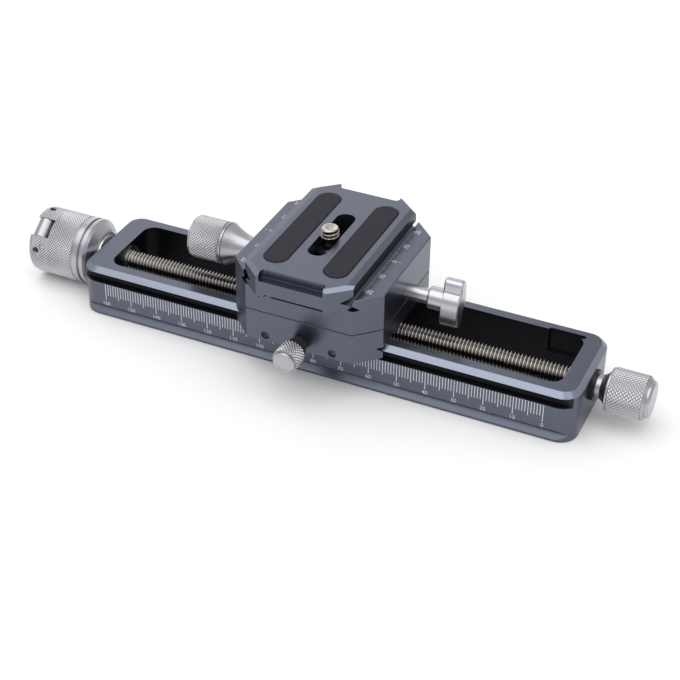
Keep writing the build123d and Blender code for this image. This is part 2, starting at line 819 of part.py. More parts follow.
# LOCK KNOB: knurled head with bevelled rims
lock_grip_r = lock_knob_r - knurl_depth
lock_axis_plane = Plane(origin=(lock_x, 0, lock_z), x_dir=(0, -1, 0), z_dir=(0, 0, 1))
with BuildPart() as lock_knob:
    with BuildSketch(lock_axis_plane):
        with BuildLine():
            Polyline(
                (lock_collar_outer_y, 0),
                (lock_collar_outer_y, lock_grip_r - knurl_depth),
                (lock_collar_outer_y + knurl_depth, lock_grip_r),
                (lock_knob_outer_y, lock_grip_r),
                (lock_knob_outer_y + lock_face_length, lock_grip_r - lock_face_length),
                (lock_knob_outer_y + lock_face_length, 0),
                close=True,
            )
        make_face()
    revolve(axis=Axis((lock_x, 0, lock_z), (0, -1, 0)))

# CROSS BASE: upper block with the two strips and the dovetail channel
with BuildPart() as cross_base:
    with BuildSketch(carriage_plane.offset(split_z)) as base_plan:
        Rectangle(block_length, block_width)
        chamfer(base_plan.vertices(), block_corner_cut)
    extrude(amount=strip_top_z - split_z)
    chamfer(cross_base.faces().sort_by(Axis.Z)[0].edges(), block_edge)
    chamfer(cross_base.faces().sort_by(Axis.Z)[-1].edges(), block_edge)
    with BuildSketch(slide_plane) as cross_channel:
        with BuildLine():
            Polyline(
                (0, strip_top_z + overcut),
                (strip_inner_x, strip_top_z + overcut),
                (strip_inner_x, strip_top_z),
                (plate_half_width, strip_point_z),
                (undercut_x, ledge_z),
                (neck_x, ledge_z),
                (key_flank_x, land_z),
                (0, land_z),
                close=True,
            )
        make_face()
        mirror(about=Plane.YZ)
        with Locations((floor_offset, (land_z + floor_z) / 2)):
            Rectangle(2 * floor_half_width, floor_drop)
    extrude(amount=block_width, both=True, mode=Mode.SUBTRACT)
    # saw cut that lets the left wall close on the key, and its corner relief
    with BuildSketch(slide_plane):
        with Locations((-clamp_slit_x, (clamp_slit_bottom_z + ledge_z) / 2)):
            Rectangle(clamp_slit_width, ledge_z - clamp_slit_bottom_z)
        with BuildLine():
            Polyline(
                (-key_flank_x, land_z),
                (corner_relief_width - key_flank_x, land_z),
                (-key_flank_x, corner_relief_z),
                close=True,
            )
        make_face()
    extrude(amount=block_width, both=True, mode=Mode.SUBTRACT)
    # stepped bore for the bush, the pinion, the shaft's tail and the wing screw
    with BuildSketch(pinion_plane):
        with BuildLine():
            Polyline(
                (block_left_x - overcut, 0),
                (block_left_x - overcut, bush_r),
                (bush_right_x, bush_r),
                (bush_right_x, pinion_bore_r),
                (pinion_right_x + running_gap, pinion_bore_r),
                (pinion_right_x + running_gap, tail_r + running_gap),
                (tail_right_x + tail_end_gap, tail_r + running_gap),
                (tail_right_x + tail_end_gap, 0),
                close=True,
            )
        make_face()
    revolve(axis=pinion_axis, mode=Mode.SUBTRACT)
    with BuildSketch(Plane.YZ.offset(tail_right_x)):
        with Locations((0, wing_z)):
            Circle(wing_stud_r + running_gap)
    extrude(amount=block_length, mode=Mode.SUBTRACT)
    with Locations(carriage_plane.offset(floor_z)):
        with GridLocations(2 * base_screw_x, 2 * base_screw_y, 2, 2):
            CounterBoreHole(m3_hole_r, m3_bore_r, base_screw_sink + m3_head_height)

# CROSS BASE SCREWS: hold the two blocks together
with BuildPart() as cross_base_screws:
    with BuildSketch(carriage_plane.offset(base_screw_bottom_z)):
        with GridLocations(2 * base_screw_x, 2 * base_screw_y, 2, 2):
            Circle(m3_r)
    extrude(amount=base_seat_z - base_screw_bottom_z)
    with BuildSketch(carriage_plane.offset(base_seat_z)):
        with GridLocations(2 * base_screw_x, 2 * base_screw_y, 2, 2):
            Circle(m3_head_r)
    extrude(amount=m3_head_height)
    with BuildSketch(carriage_plane.offset(base_screw_head_z)):
        with GridLocations(2 * base_screw_x, 2 * base_screw_y, 2, 2):
            RegularPolygon(m3_socket_r, 6)
    extrude(amount=-m3_socket_depth, mode=Mode.SUBTRACT)

# PINION BUSH: plain sleeve pressed into the left side of the cross base
with BuildPart() as pinion_bush:
    with BuildSketch(Plane.YZ.offset(block_left_x)):
        with Locations((0, pinion_z)):
            Circle(bush_r)
            Circle(shaft_r + running_gap, mode=Mode.SUBTRACT)
    extrude(amount=bush_length)

# PINION SHAFT: involute pinion cut on the shaft, journals on both sides
base_circle_r = pinion_pitch_r * math.cos(math.radians(pressure_angle))
pitch_involute = math.tan(math.radians(pressure_angle)) - math.radians(pressure_angle)
tooth_half_angle = math.pi / (2 * pinion_teeth) - tooth_backlash / (2 * pinion_pitch_r)
base_half_angle = tooth_half_angle + pitch_involute
tip_roll = math.sqrt((pinion_tip_r / base_circle_r) ** 2 - 1)
flank_rolls = [tip_roll * step / flank_steps for step in range(flank_steps + 1)]
flank_radii = [base_circle_r * math.sqrt(1 + roll * roll) for roll in flank_rolls]
flank_angles = [base_half_angle - roll + math.atan(roll) for roll in flank_rolls]
tooth_side = [(pinion_root_r, base_half_angle)] + list(zip(flank_radii, flank_angles))
tooth_outline = [(radius, -angle) for radius, angle in tooth_side]
tooth_outline += list(reversed(tooth_side))
tooth_turns = [2 * math.pi * tooth / pinion_teeth for tooth in range(pinion_teeth)]
pinion_outline = [
    (radius * math.sin(turn + angle), pinion_z + radius * math.cos(turn + angle))
    for turn in tooth_turns
    for radius, angle in tooth_outline
]
shaft_left_x = cross_knob_end_x + cross_shaft_inset
with BuildPart() as pinion_shaft:
    with BuildSketch(Plane.YZ.offset(pinion_left_x)):
        Polygon(*pinion_outline, align=None)
    extrude(amount=pinion_right_x - pinion_left_x)
    with BuildSketch(pinion_plane):
        with BuildLine():
            Polyline(
                (shaft_left_x, 0),
                (shaft_left_x, shaft_r),
                (pinion_left_x, shaft_r),
                (pinion_left_x, tail_r),
                (tail_right_x, tail_r),
                (tail_right_x, 0),
                close=True,
            )
        make_face()
    revolve(axis=pinion_axis)

# RACK: straight bar with the same tooth form, teeth down
rack_gap_half = rack_pitch / 4 + tooth_backlash / 2
rack_slope = math.tan(math.radians(pressure_angle))
rack_root = gear_module + root_clearance
rack_gaps = round((rack_length - 2 * rack_plain_end) / rack_pitch)
with BuildPart() as rack:
    with BuildSketch(rack_section):
        with Locations((0, (rack_top_z + rack_bottom_z) / 2)):
            Rectangle(rack_length, rack_top_z - rack_bottom_z)
    extrude(amount=rack_width)
    with BuildSketch(rack_section):
        with Locations((0, rack_pitch_z)):
            with GridLocations(rack_pitch, 1, rack_gaps, 1):
                Polygon(
                    (-rack_gap_half - rack_slope * overcut, -overcut),
                    (rack_gap_half + rack_slope * overcut, -overcut),
                    (rack_gap_half - rack_slope * rack_root, rack_root),
                    (rack_slope * rack_root - rack_gap_half, rack_root),
                    align=None,
                )
    extrude(amount=rack_width, mode=Mode.SUBTRACT)
    with BuildSketch(plate_plane.offset(rack_bottom_z)):
        with Locations((rack_x, rack_screw_y), (rack_x, -rack_screw_y)):
            Circle(rack_screw_r + fixing_gap)
    extrude(amount=rack_top_z - rack_bottom_z, mode=Mode.SUBTRACT)
    with BuildSketch(plate_plane.offset(rack_bottom_z)):
        with Locations((rack_x, rack_screw_y), (rack_x, -rack_screw_y)):
            Circle(rack_screw_head_r + fixing_gap)
    extrude(amount=m3_head_gap + rack_screw_head_height, mode=Mode.SUBTRACT)

# TOP PLATE: clamping plate, grooved sides, relieved ends, dovetail key below
with BuildPart() as top_plate:
    with BuildSketch(plate_plane.offset(plate_bottom_z)):
        with BuildLine():
            Polyline(
                (nose_half_width, plate_half_length),
                (plate_half_width, shoulder_y),
                (plate_half_width, -shoulder_y),
                (nose_half_width, -plate_half_length),
                (-nose_half_width, -plate_half_length),
                (-plate_half_width, -shoulder_y),
                (-plate_half_width, shoulder_y),
                (-nose_half_width, plate_half_length),
                close=True,
            )
        make_face()
    extrude(amount=plate_thickness)
    top_edges = top_plate.faces().sort_by(Axis.Z)[-1].edges()
    straight_edges = top_edges.filter_by(Axis.X) + top_edges.filter_by(Axis.Y)
    chamfer([edge for edge in top_edges if edge not in straight_edges], nose_bevel)
    # shallow fall along both sides, above the clamping grooves
    with BuildSketch(slide_plane):
        with BuildLine():
            Polyline(
                (plate_half_width - plate_bevel_in, plate_top_z),
                (plate_half_width + overcut, plate_top_z),
                (plate_half_width + overcut, plate_top_z - plate_bevel_down),
                (plate_half_width, plate_top_z - plate_bevel_down),
                close=True,
            )
        make_face()
        mirror(about=Plane.YZ)
    extrude(amount=plate_half_length + overcut, both=True, mode=Mode.SUBTRACT)
    with BuildSketch(slide_plane):
        with BuildLine():
            Polyline(
                (plate_half_width, plate_top_z - side_groove_top_drop),
                (plate_half_width - side_groove_depth, plate_top_z - side_groove_drop),
                (plate_half_width - plate_foot_inset, plate_top_z - plate_foot_drop),
                (plate_half_width - plate_foot_bottom_inset, plate_bottom_z),
                (plate_half_width - plate_foot_bottom_inset, plate_bottom_z - overcut),
                (plate_half_width + overcut, plate_bottom_z - overcut),
                (plate_half_width + overcut, plate_top_z - side_groove_top_drop),
                close=True,
            )
        make_face()
        mirror(about=Plane.YZ)
    extrude(amount=plate_half_length + overcut, both=True, mode=Mode.SUBTRACT)
    # key that slides in the cross base
    with BuildSketch(slide_plane):
        with BuildLine():
            Polyline(
                (0, plate_bottom_z),
                (neck_x - flank_gap - slide_gap, plate_bottom_z),
                (neck_x - flank_gap + ledge_z - key_bottom_z, key_bottom_z),
                (0, key_bottom_z),
                close=True,
            )
        make_face()
        mirror(about=Plane.YZ)
    extrude(amount=block_side_y, both=True)
    # relief under both noses
    with BuildSketch(plate_plane.offset(plate_bottom_z)):
        with Locations((floor_offset, nose_relief_y), (floor_offset, -nose_relief_y)):
            Rectangle(2 * floor_half_width, relief_reach)
    extrude(amount=nose_relief_height, mode=Mode.SUBTRACT)
    # stepped notch in both ends
    with BuildSketch(plate_plane.offset(plate_top_z - end_notch_depth)):
        with Locations((0, notch_y), (0, -notch_y)):
            RectangleRounded(2 * end_notch_half_width, notch_reach, end_notch_r)
    extrude(amount=end_notch_depth + overcut, mode=Mode.SUBTRACT)
    # two pad recesses
    with BuildSketch(plate_plane.offset(pad_bottom_z)):
        with Locations((-pad_offset, 0), (pad_offset, 0)):
            SlotOverall(
                pad_length + 2 * pad_recess_gap, pad_width + 2 * pad_recess_gap, rotation=90
            )
    extrude(amount=pad_recess_depth + overcut, mode=Mode.SUBTRACT)
    # stepped slot for the camera screw
    with BuildSketch(plate_plane.offset(key_bottom_z - overcut)):
        with Locations((0, slot_y)):
            SlotOverall(slot_length, 2 * slot_half_width, rotation=90)
    extrude(amount=plate_top_z - key_bottom_z + 2 * overcut, mode=Mode.SUBTRACT)
    slot_pocket_length = slot_length + 2 * (slot_pocket_half_width - slot_half_width)
    with BuildSketch(plate_plane.offset(key_bottom_z - overcut)):
        with Locations((0, slot_y)):
            SlotOverall(slot_pocket_length, 2 * slot_pocket_half_width, rotation=90)
    extrude(amount=slot_ledge_z - key_bottom_z + overcut, mode=Mode.SUBTRACT)
    # groove for the rack and the holes of its screws
    with BuildSketch(plate_plane.offset(key_bottom_z - overcut)):
        with Locations((rack_x, 0)):
            Rectangle(rack_width + 2 * fixing_gap, rack_length + 2 * fixing_gap)
    extrude(amount=rack_top_z - key_bottom_z + overcut, mode=Mode.SUBTRACT)
    with BuildSketch(plate_plane.offset(rack_top_z)):
        with Locations((rack_x, rack_screw_y), (rack_x, -rack_screw_y)):
            Circle(rack_screw_r + fixing_gap)
    extrude(
        amount=rack_head_z + rack_screw_length + m3_tip_gap - rack_top_z, mode=Mode.SUBTRACT
    )

# RACK SCREWS: two small screws up into the plate
with BuildPart() as rack_screws:
    with BuildSketch(plate_plane.offset(rack_head_z)):
        with Locations((rack_x, rack_screw_y), (rack_x, -rack_screw_y)):
            Circle(rack_screw_head_r)
    extrude(amount=rack_screw_head_height)
    with BuildSketch(plate_plane.offset(rack_head_z)):
        with Locations((rack_x, rack_screw_y), (rack_x, -rack_screw_y)):
            Circle(rack_screw_r)
    extrude(amount=rack_screw_length)

# GRIP PADS: two rubber pads bonded in the recesses
with BuildPart() as grip_pad_left:
    with BuildSketch(plate_plane.offset(pad_bottom_z)):
        with Locations((-pad_offset, 0)):
            SlotOverall(pad_length, pad_width, rotation=90)
    extrude(amount=pad_thickness)
    chamfer(grip_pad_left.faces().sort_by(Axis.Z)[-1].edges(), pad_edge)

with BuildPart() as grip_pad_right:
    with BuildSketch(plate_plane.offset(pad_bottom_z)):
        with Locations((pad_offset, 0)):
            SlotOverall(pad_length, pad_width, rotation=90)
    extrude(amount=pad_thickness)
    chamfer(grip_pad_right.faces().sort_by(Axis.Z)[-1].edges(), pad_edge)

# SCREW SLIDER: flat guide disc that keeps the camera screw square in the slot
with BuildPart() as screw_slider:
    with BuildSketch(camera_plane.offset(camera_guide_z)):
        Circle(camera_guide_r)
        Circle(camera_shank_r + running_gap, mode=Mode.SUBTRACT)
    extrude(amount=camera_guide_thickness)

# CAMERA SCREW: threaded end above the pads, plain shank, flanged head with a socket
with BuildPart() as camera_screw:
    with BuildSketch(camera_plane.offset(camera_head_bottom_z)):
        Circle(camera_head_r)
    extrude(amount=camera_head_height)
    with BuildSketch(camera_plane.offset(camera_seat_z)):
        Circle(camera_shank_r)
    extrude(amount=pad_top_z - camera_seat_z)
    with BuildSketch(camera_plane.offset(pad_top_z)):
        Circle(camera_r)
    extrude(amount=camera_thread_length)
    chamfer(camera_screw.faces().sort_by(Axis.Z)[-1].edges(), camera_tip_chamfer)
    with BuildSketch(camera_plane.offset(camera_head_bottom_z)):
        RegularPolygon(camera_socket_r, 6)
    extrude(amount=camera_socket_depth, mode=Mode.SUBTRACT)

# CROSS KNOB: knurled head with a concave neck
cross_grip_r = cross_knob_r - knurl_depth
with BuildPart() as cross_knob:
    with BuildSketch(pinion_plane):
        with BuildLine():
            Polyline(
                (cross_knob_inner_x, cross_neck_r),
                (cross_knob_inner_x, 0),
                (cross_knob_end_x, 0),
                (cross_knob_end_x, cross_knob_r - knob_edge),
                (cross_knob_end_x + knob_edge - knurl_depth, cross_grip_r),
                (cross_knurl_end_x, cross_grip_r),
                (cross_knurl_end_x, cross_groove_r),
                (cross_ring_x, cross_groove_r),
                (cross_ring_x, cross_knob_r),
                (cross_ring_end_x, cross_knob_r),
                (cross_ring_end_x, cross_groove_r),
                (cross_cone_x, cross_groove_r),
                (cross_cone_x, cross_knob_r),
            )
            SagittaArc(
                (cross_cone_x, cross_knob_r), (cross_knob_inner_x, cross_neck_r), -cross_neck_sag
            )
        make_face()
    revolve(axis=pinion_axis)
    with BuildSketch(Plane.YZ.offset(shaft_left_x)):
        with Locations((0, pinion_z)):
            Circle(shaft_r + fixing_gap)
    extrude(amount=cross_knob_length, mode=Mode.SUBTRACT)
    with BuildSketch(cross_set_screw_plane):
        Circle(set_screw_r)
    extrude(amount=cross_knob_r + overcut, mode=Mode.SUBTRACT)

# CROSS KNOB SCREW: set screw under the knob
with BuildPart() as cross_knob_screw:
    with BuildSketch(cross_set_screw_plane.offset(shaft_r)):
        Circle(set_screw_r - fixing_gap)
    extrude(amount=right_set_screw_length)
    with BuildSketch(cross_set_screw_plane.offset(shaft_r + right_set_screw_length)):
        RegularPolygon(hex_r, 6)
    extrude(amount=-hex_depth, mode=Mode.SUBTRACT)

# LOCK PAD: soft plug between the wing screw and the pinion shaft's tail
with BuildPart() as lock_pad:
    with BuildSketch(Plane.YZ.offset(lock_pad_left_x)):
        with Locations((0, wing_z)):
            Circle(lock_pad_r)
    extrude(amount=lock_pad_length)

# WING STUD: steel stud that turns in the cross base
with BuildPart() as wing_stud:
    with BuildSketch(Plane.YZ.offset(wing_stud_left_x)):
        with Locations((0, wing_z)):
            Circle(wing_stud_r)
    extrude(amount=wing_hub_x + wing_stud_grip - wing_stud_left_x)

# WING KNOB: hub with a flat two-sided blade
with BuildPart() as wing_knob:
    with BuildSketch(Plane.YZ.offset(wing_hub_x)):
        with Locations((0, wing_z)):
            Circle(wing_hub_r)
    extrude(amount=wing_length)
    chamfer(wing_knob.faces().sort_by(Axis.X)[0].edges(), wing_hub_edge)
    with BuildSketch(wing_plane):
        RectangleRounded(2 * wing_half_span, wing_thickness, wing_corner_r)
    extrude(amount=wing_end_x - wing_blade_x)
    chamfer(wing_knob.faces().sort_by(Axis.X)[-1].edges(), wing_edge)
    with BuildSketch(Plane.YZ.offset(wing_hub_x)):
        with Locations((0, wing_z)):
            Circle(wing_stud_r + fixing_gap)
    extrude(amount=wing_stud_grip, mode=Mode.SUBTRACT)

nodes = {
    "rail_frame": rail_frame,
    "left_bearing": left_bearing,
    "right_bearing": right_bearing,
    "thrust_washers": thrust_washers,
    "lead_screw": lead_screw,
    "left_knob": left_knob,
    "right_knob": right_knob,
    "knob_set_screws": knob_set_screws,
    "crank_pin": crank_pin,
    "crank_plunger": crank_plunger,
    "crank_handle": crank_handle,
    "carriage_base": carriage_base,
    "carriage_gib": carriage_gib,
    "gib_set_screws": gib_set_screws,
    "lead_nut": lead_nut,
    "lead_nut_screws": lead_nut_screws,
    "lock_stud": lock_stud,
    "lock_collar": lock_collar,
    "lock_knob": lock_knob,
    "cross_base": cross_base,
    "cross_base_screws": cross_base_screws,
    "pinion_bush": pinion_bush,
    "pinion_shaft": pinion_shaft,
    "cross_knob": cross_knob,
    "cross_knob_screw": cross_knob_screw,
    "rack": rack,
    "rack_screws": rack_screws,
    "top_plate": top_plate,
    "grip_pad_left": grip_pad_left,
    "grip_pad_right": grip_pad_right,
    "screw_slider": screw_slider,
    "camera_screw": camera_screw,
    "lock_pad": lock_pad,
    "wing_stud": wing_stud,
    "wing_knob": wing_knob,
}
for name, node in nodes.items():
    node.part.label = name
    export_step(node.part, f"parts/{name}.step")
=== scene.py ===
"""Dressed model of a two-axis macro focus rail: anodised blocks, thread, knurled knobs, scales."""
import math
import bmesh
import bpy
import numpy as np
from mathutils import Matrix, Vector


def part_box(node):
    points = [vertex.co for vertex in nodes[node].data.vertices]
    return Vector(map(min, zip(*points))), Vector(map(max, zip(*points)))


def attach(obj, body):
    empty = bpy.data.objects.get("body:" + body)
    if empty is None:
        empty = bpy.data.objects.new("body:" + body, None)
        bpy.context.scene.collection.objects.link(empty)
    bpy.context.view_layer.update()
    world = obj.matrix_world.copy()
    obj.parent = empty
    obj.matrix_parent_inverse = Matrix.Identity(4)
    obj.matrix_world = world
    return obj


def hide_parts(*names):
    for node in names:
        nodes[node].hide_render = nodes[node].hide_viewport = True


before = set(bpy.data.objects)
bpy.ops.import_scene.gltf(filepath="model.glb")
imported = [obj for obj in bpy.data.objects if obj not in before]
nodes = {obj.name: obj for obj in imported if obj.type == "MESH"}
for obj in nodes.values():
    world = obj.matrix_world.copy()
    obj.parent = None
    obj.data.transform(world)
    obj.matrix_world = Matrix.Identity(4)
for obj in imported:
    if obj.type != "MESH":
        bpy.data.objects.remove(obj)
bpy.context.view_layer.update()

# RAIL
# A slotted bar milled from aluminium, bead blasted and anodised blue-grey.
# The long window and the two guide grooves are coloured near black.


class Value:
    """A shader number: Python operators on it add Math nodes."""

    def __init__(self, tree, socket):
        self.tree = tree
        self.socket = socket

    def node(self, kind, settings=None, **values):
        """Adds one node, sets its settings first and then its inputs, and returns it. An
        input is named, with _ for a space, or given as i and its number."""
        made = self.tree.nodes.new(kind)
        for name, setting in (settings or {}).items():
            setattr(made, name, setting)
        for name, value in values.items():
            numbered = name[0] == "i" and name[1:].isdigit()
            key = int(name[1:]) if numbered else name.replace("_", " ")
            if isinstance(value, Value):
                self.tree.links.new(value.socket, made.inputs[key])
            elif isinstance(value, bpy.types.NodeSocket):
                self.tree.links.new(value, made.inputs[key])
            else:
                made.inputs[key].default_value = value
        return made

    def math(self, operation, *others):
        """One Math node on this value and the others."""
        values = {f"i{place + 1}": other for place, other in enumerate(others)}
        made = self.node("ShaderNodeMath", {"operation": operation}, i0=self, **values)
        return Value(self.tree, made.outputs[0])

    def __add__(self, other):
        return self.math("ADD", other)

    __radd__ = __add__

    def __mul__(self, other):
        return self.math("MULTIPLY", other)

    __rmul__ = __mul__

    def __sub__(self, other):
        return self.math("SUBTRACT", other)

    def __rsub__(self, other):
        return self.math("MULTIPLY", -1.0).math("ADD", other)

    def __abs__(self):
        return self.math("ABSOLUTE")

    def above(self, edge, soft=0.00005):
        """0 below the edge and 1 above it, with a short ramp between."""
        ramp = self.node(
            "ShaderNodeMapRange", None, Value=self, From_Min=edge - soft, From_Max=edge + soft
        )
        return Value(self.tree, ramp.outputs[0])


def finish(name, colour, metallic, roughness):
    """A new material with its constant values on the shader, and its object coordinates."""
    material = bpy.data.materials.new(name)
    material.use_nodes = True
    tree = material.node_tree
    shader = tree.nodes["Principled BSDF"]
    shader.inputs["Base Color"].default_value = (*colour, 1)
    shader.inputs["Metallic"].default_value = metallic
    shader.inputs["Roughness"].default_value = roughness
    place = tree.nodes.new("ShaderNodeTexCoord")
    return material, Value(tree, place.outputs["Object"])


def to_shader(material, **sockets):
    """Links values to the named sockets of the material's shader."""
    tree = material.node_tree
    shader = tree.nodes["Principled BSDF"]
    for name, value in sockets.items():
        socket = value.socket if isinstance(value, Value) else value
        tree.links.new(socket, shader.inputs[name.replace("_", " ")])


def grain(place, scale, detail=2.0):
    """Noise of that scale per metre on object coordinates, 0 to 1."""
    noise = place.node("ShaderNodeTexNoise", None, Vector=place, Scale=scale, Detail=detail)
    return Value(place.tree, noise.outputs[0])


def mixed(place, share, first, second):
    """Colour that goes from first to second with share."""
    blend = place.node("ShaderNodeMix", {"data_type": "RGBA"}, i0=share)
    for key, colour in ((6, first), (7, second)):
        if isinstance(colour, tuple):
            blend.inputs[key].default_value = (*colour, 1)
        else:
            place.tree.links.new(colour, blend.inputs[key])
    return blend.outputs[2]


def worn_edge(place, reach):
    """Normal turned over the sharp edges within reach, and how near an edge is, 0 to 1:
    five times what the cosine between that normal and the flat one lacks to one."""
    soft = place.node("ShaderNodeBevel", {"samples": 4}, Radius=reach)
    flat = place.node("ShaderNodeNewGeometry")
    cosine = place.node(
        "ShaderNodeVectorMath", {"operation": "DOT_PRODUCT"},
        i0=soft.outputs[0], i1=flat.outputs["True Normal"],
    )
    near = (1 - Value(place.tree, cosine.outputs["Value"])) * 5.0
    return soft.outputs[0], near.math("MINIMUM", 1.0)


def relief(place, height, distance, strength, normal=None):
    """Bump node for a height between 0 and 1 that stands for the distance in metres."""
    values = {"Height": height, "Distance": distance, "Strength": strength}
    if normal is not None:
        values["Normal"] = normal
    return place.node("ShaderNodeBump", None, **values).outputs[0]


def dress(material, *names):
    """Gives CAD nodes the material in place of their plain one."""
    for name in names:
        mesh = nodes[name].data
        mesh.materials.clear()
        mesh.materials.append(material)


rail_low, rail_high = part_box("rail_frame")
guide_reach = 0.0024
groove_top = rail_high.z - 0.0018
groove_bottom = rail_high.z - 0.0056
window_middle = 0.00105
window_half_length = 0.0823
window_half_width = rail_high.y - 0.0039
window_bottom = rail_low.z + 0.0002
blue_light = (0.124, 0.136, 0.176)
blue_dark = (0.112, 0.122, 0.158)
blue_edge_wear_and_highlight = (0.165, 0.178, 0.220)
chamfer_highlight_blue = (0.265, 0.290, 0.360)
near_black = (0.028, 0.028, 0.033)
blue_metallic = 0.93
blast_scale, blast_depth = 9000.0, 0.00001
cloud_scale = 60.0
edge_reach = 0.00022
sliver = 0.00006
rail_metal, at = finish("blue_grey_anodised_rail", blue_light, blue_metallic, 0.3)
blast = grain(at, blast_scale)
cloud = grain(at, cloud_scale)
soft_normal, edge = worn_edge(at, edge_reach)
axes = at.node("ShaderNodeSeparateXYZ", None, Vector=at)
along, across, height = (Value(at.tree, axes.outputs[i]) for i in range(3))
in_groove = abs(across).above(rail_high.y - guide_reach)
in_groove = in_groove * height.above(groove_bottom) * (1 - height.above(groove_top))
below_top = 1 - height.above(rail_high.z - sliver)
in_window = (1 - abs(across).above(window_half_width)) * below_top
in_window = in_window * height.above(window_bottom)
in_window = in_window * (1 - abs(along - window_middle).above(window_half_length))
dark = in_groove.math("MAXIMUM", in_window)
# The top chamfers take a paler blue: a painted highlight.
on_chamfer = height.above(groove_top) * below_top
# Paler near sharp edges: partly worn anodising, partly a painted highlight.
body_colour = mixed(at, edge, mixed(at, cloud, blue_dark, blue_light), blue_edge_wear_and_highlight)
body_colour = mixed(at, on_chamfer, body_colour, chamfer_highlight_blue)
to_shader(
    rail_metal,
    Base_Color=mixed(at, dark, body_colour, near_black),
    Roughness=blast * 0.08 + 0.25 + dark * 0.10,
    Metallic=blue_metallic + dark * (1 - blue_metallic),
    Normal=relief(at, blast, blast_depth, 0.5, soft_normal),
)
dress(rail_metal, "rail_frame")

# SCALE ALONG THE RAIL
# Millimetre marks and plain numbers, engraved in the scale side and filled with pale paint.


def add_piece(name, points, faces, material, body, smooth=True, hollow=None):
    """A mesh piece from arrays of points and of faces with equal corners, riding on a body.
    The hollow of each point, 0 to 1, is kept as an attribute that the materials can read."""
    mesh = bpy.data.meshes.new(name)
    corners = faces.shape[1]
    mesh.vertices.add(len(points))
    mesh.vertices.foreach_set("co", np.ascontiguousarray(points, np.float32).ravel())
    mesh.loops.add(faces.size)
    mesh.loops.foreach_set("vertex_index", np.ascontiguousarray(faces, np.int32).ravel())
    mesh.polygons.add(len(faces))
    mesh.polygons.foreach_set("loop_start", np.arange(len(faces), dtype=np.int32) * corners)
    mesh.update(calc_edges=True)
    if hollow is not None:
        kept = mesh.attributes.new("hollow", "FLOAT", "POINT")
        kept.data.foreach_set("value", np.ascontiguousarray(hollow, np.float32).ravel())
    merged = bmesh.new()
    merged.from_mesh(mesh)
    bmesh.ops.remove_doubles(merged, verts=merged.verts, dist=1e-8)
    merged.to_mesh(mesh)
    merged.free()
    mesh.polygons.foreach_set("use_smooth", np.full(len(mesh.polygons), smooth))
    mesh.materials.append(material)
    piece = bpy.data.objects.new(name, mesh)
    bpy.context.scene.collection.objects.link(piece)
    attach(piece, body)
    return piece


def marks(places, lengths, width, origin, along, hang):
    """Flat bars that hang from a line: bar i spans width about origin + place * along and reaches
    length * hang. Returns points and triangles that face along x hang, or its opposite."""
    half = np.array([-width / 2, width / 2, width / 2, -width / 2])
    reach = np.array([0.0, 0.0, 1.0, 1.0])
    points = (
        origin
        + (places[:, None] + half)[..., None] * along
        + (lengths[:, None] * reach)[..., None] * hang
    )
    first = 4 * np.arange(len(places))[:, None]
    corners = np.concatenate([first + [0, 1, 2], first + [0, 2, 3]])
    return points.reshape(-1, 3), corners


def number(text, size, middle, right, up):
    """Points and triangles of a plain number, written along right and standing along up."""
    words = bpy.data.curves.new("number", "FONT")
    words.body = text
    words.size = size
    words.resolution_u = 3
    words.align_x = "CENTER"
    words.align_y = "CENTER"
    holder = bpy.data.objects.new("number", words)
    bpy.context.scene.collection.objects.link(holder)
    shape = holder.evaluated_get(bpy.context.evaluated_depsgraph_get()).to_mesh()
    flat = np.empty(3 * len(shape.vertices))
    shape.vertices.foreach_get("co", flat)
    shape.calc_loop_triangles()
    corners = np.empty(3 * len(shape.loop_triangles), int)
    shape.loop_triangles.foreach_get("vertices", corners)
    bpy.data.objects.remove(holder)
    bpy.data.curves.remove(words)
    flat = flat.reshape(-1, 3)
    points = middle + flat[:, :1] * right + flat[:, 1:2] * up
    return points, corners.reshape(-1, 3)


def engraved(name, parts, outwards, material, body):
    """One piece from several (points, triangles) pairs, all turned to face outwards."""
    points = np.concatenate([some for some, _ in parts])
    starts = np.cumsum([0] + [len(some) for some, _ in parts[:-1]])
    corners = np.concatenate([faces + start for (_, faces), start in zip(parts, starts)])
    a, b, c = (points[corners[:, i]] for i in range(3))
    inwards = np.cross(b - a, c - a) @ outwards < 0
    corners[inwards] = corners[inwards][:, ::-1]
    return add_piece(name, points, corners, material, body, smooth=False)


scale_paint, at = finish("pale_scale_paint", (0.62, 0.63, 0.67), 0.0, 0.6)
wear = grain(at, 1800.0, 3.0)
to_shader(
    scale_paint,
    Base_Color=mixed(at, wear, (0.44, 0.45, 0.50), (0.74, 0.75, 0.78)),
    Roughness=wear * 0.3 + 0.45,
)
proud = 0.000012
millimetre = 0.001
scale_length = 160
scale_zero_x = 0.080
mark_width = 0.00027
number_height, number_size = 0.00545, 0.0021
to_left = np.array([-1.0, 0.0, 0.0])
rightwards = -to_left
forwards = np.array([0.0, -1.0, 0.0])
upwards = np.array([0.0, 0.0, 1.0])
steps = np.arange(scale_length + 1)
lengths = np.where(steps % 10 == 0, 0.0067, np.where(steps % 5 == 0, 0.0056, 0.0045))
mark_line = np.array([scale_zero_x, rail_low.y - proud, groove_bottom - 0.00005])
parts = [marks(steps * millimetre, lengths, mark_width, mark_line, to_left, -upwards)]
for tens in range(0, scale_length + 1, 10):
    middle = np.array([scale_zero_x - tens * millimetre, rail_low.y - proud, number_height])
    parts.append(number(str(tens), number_size, middle, rightwards, upwards))
engraved("rail_scale", parts, forwards, scale_paint, "rail")

# CARRIAGE BLOCKS AND CLAMPING PLATE
# Three milled blocks with the rail's blasted and anodised finish. The two lower ones meet in a
# seam of painted shade; the plate's bevels carry a painted highlight, its sides painted shade.
plate_low, plate_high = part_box("top_plate")
base_low, base_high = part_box("cross_base")
seam_height, seam_reach = base_low.z, 0.0002


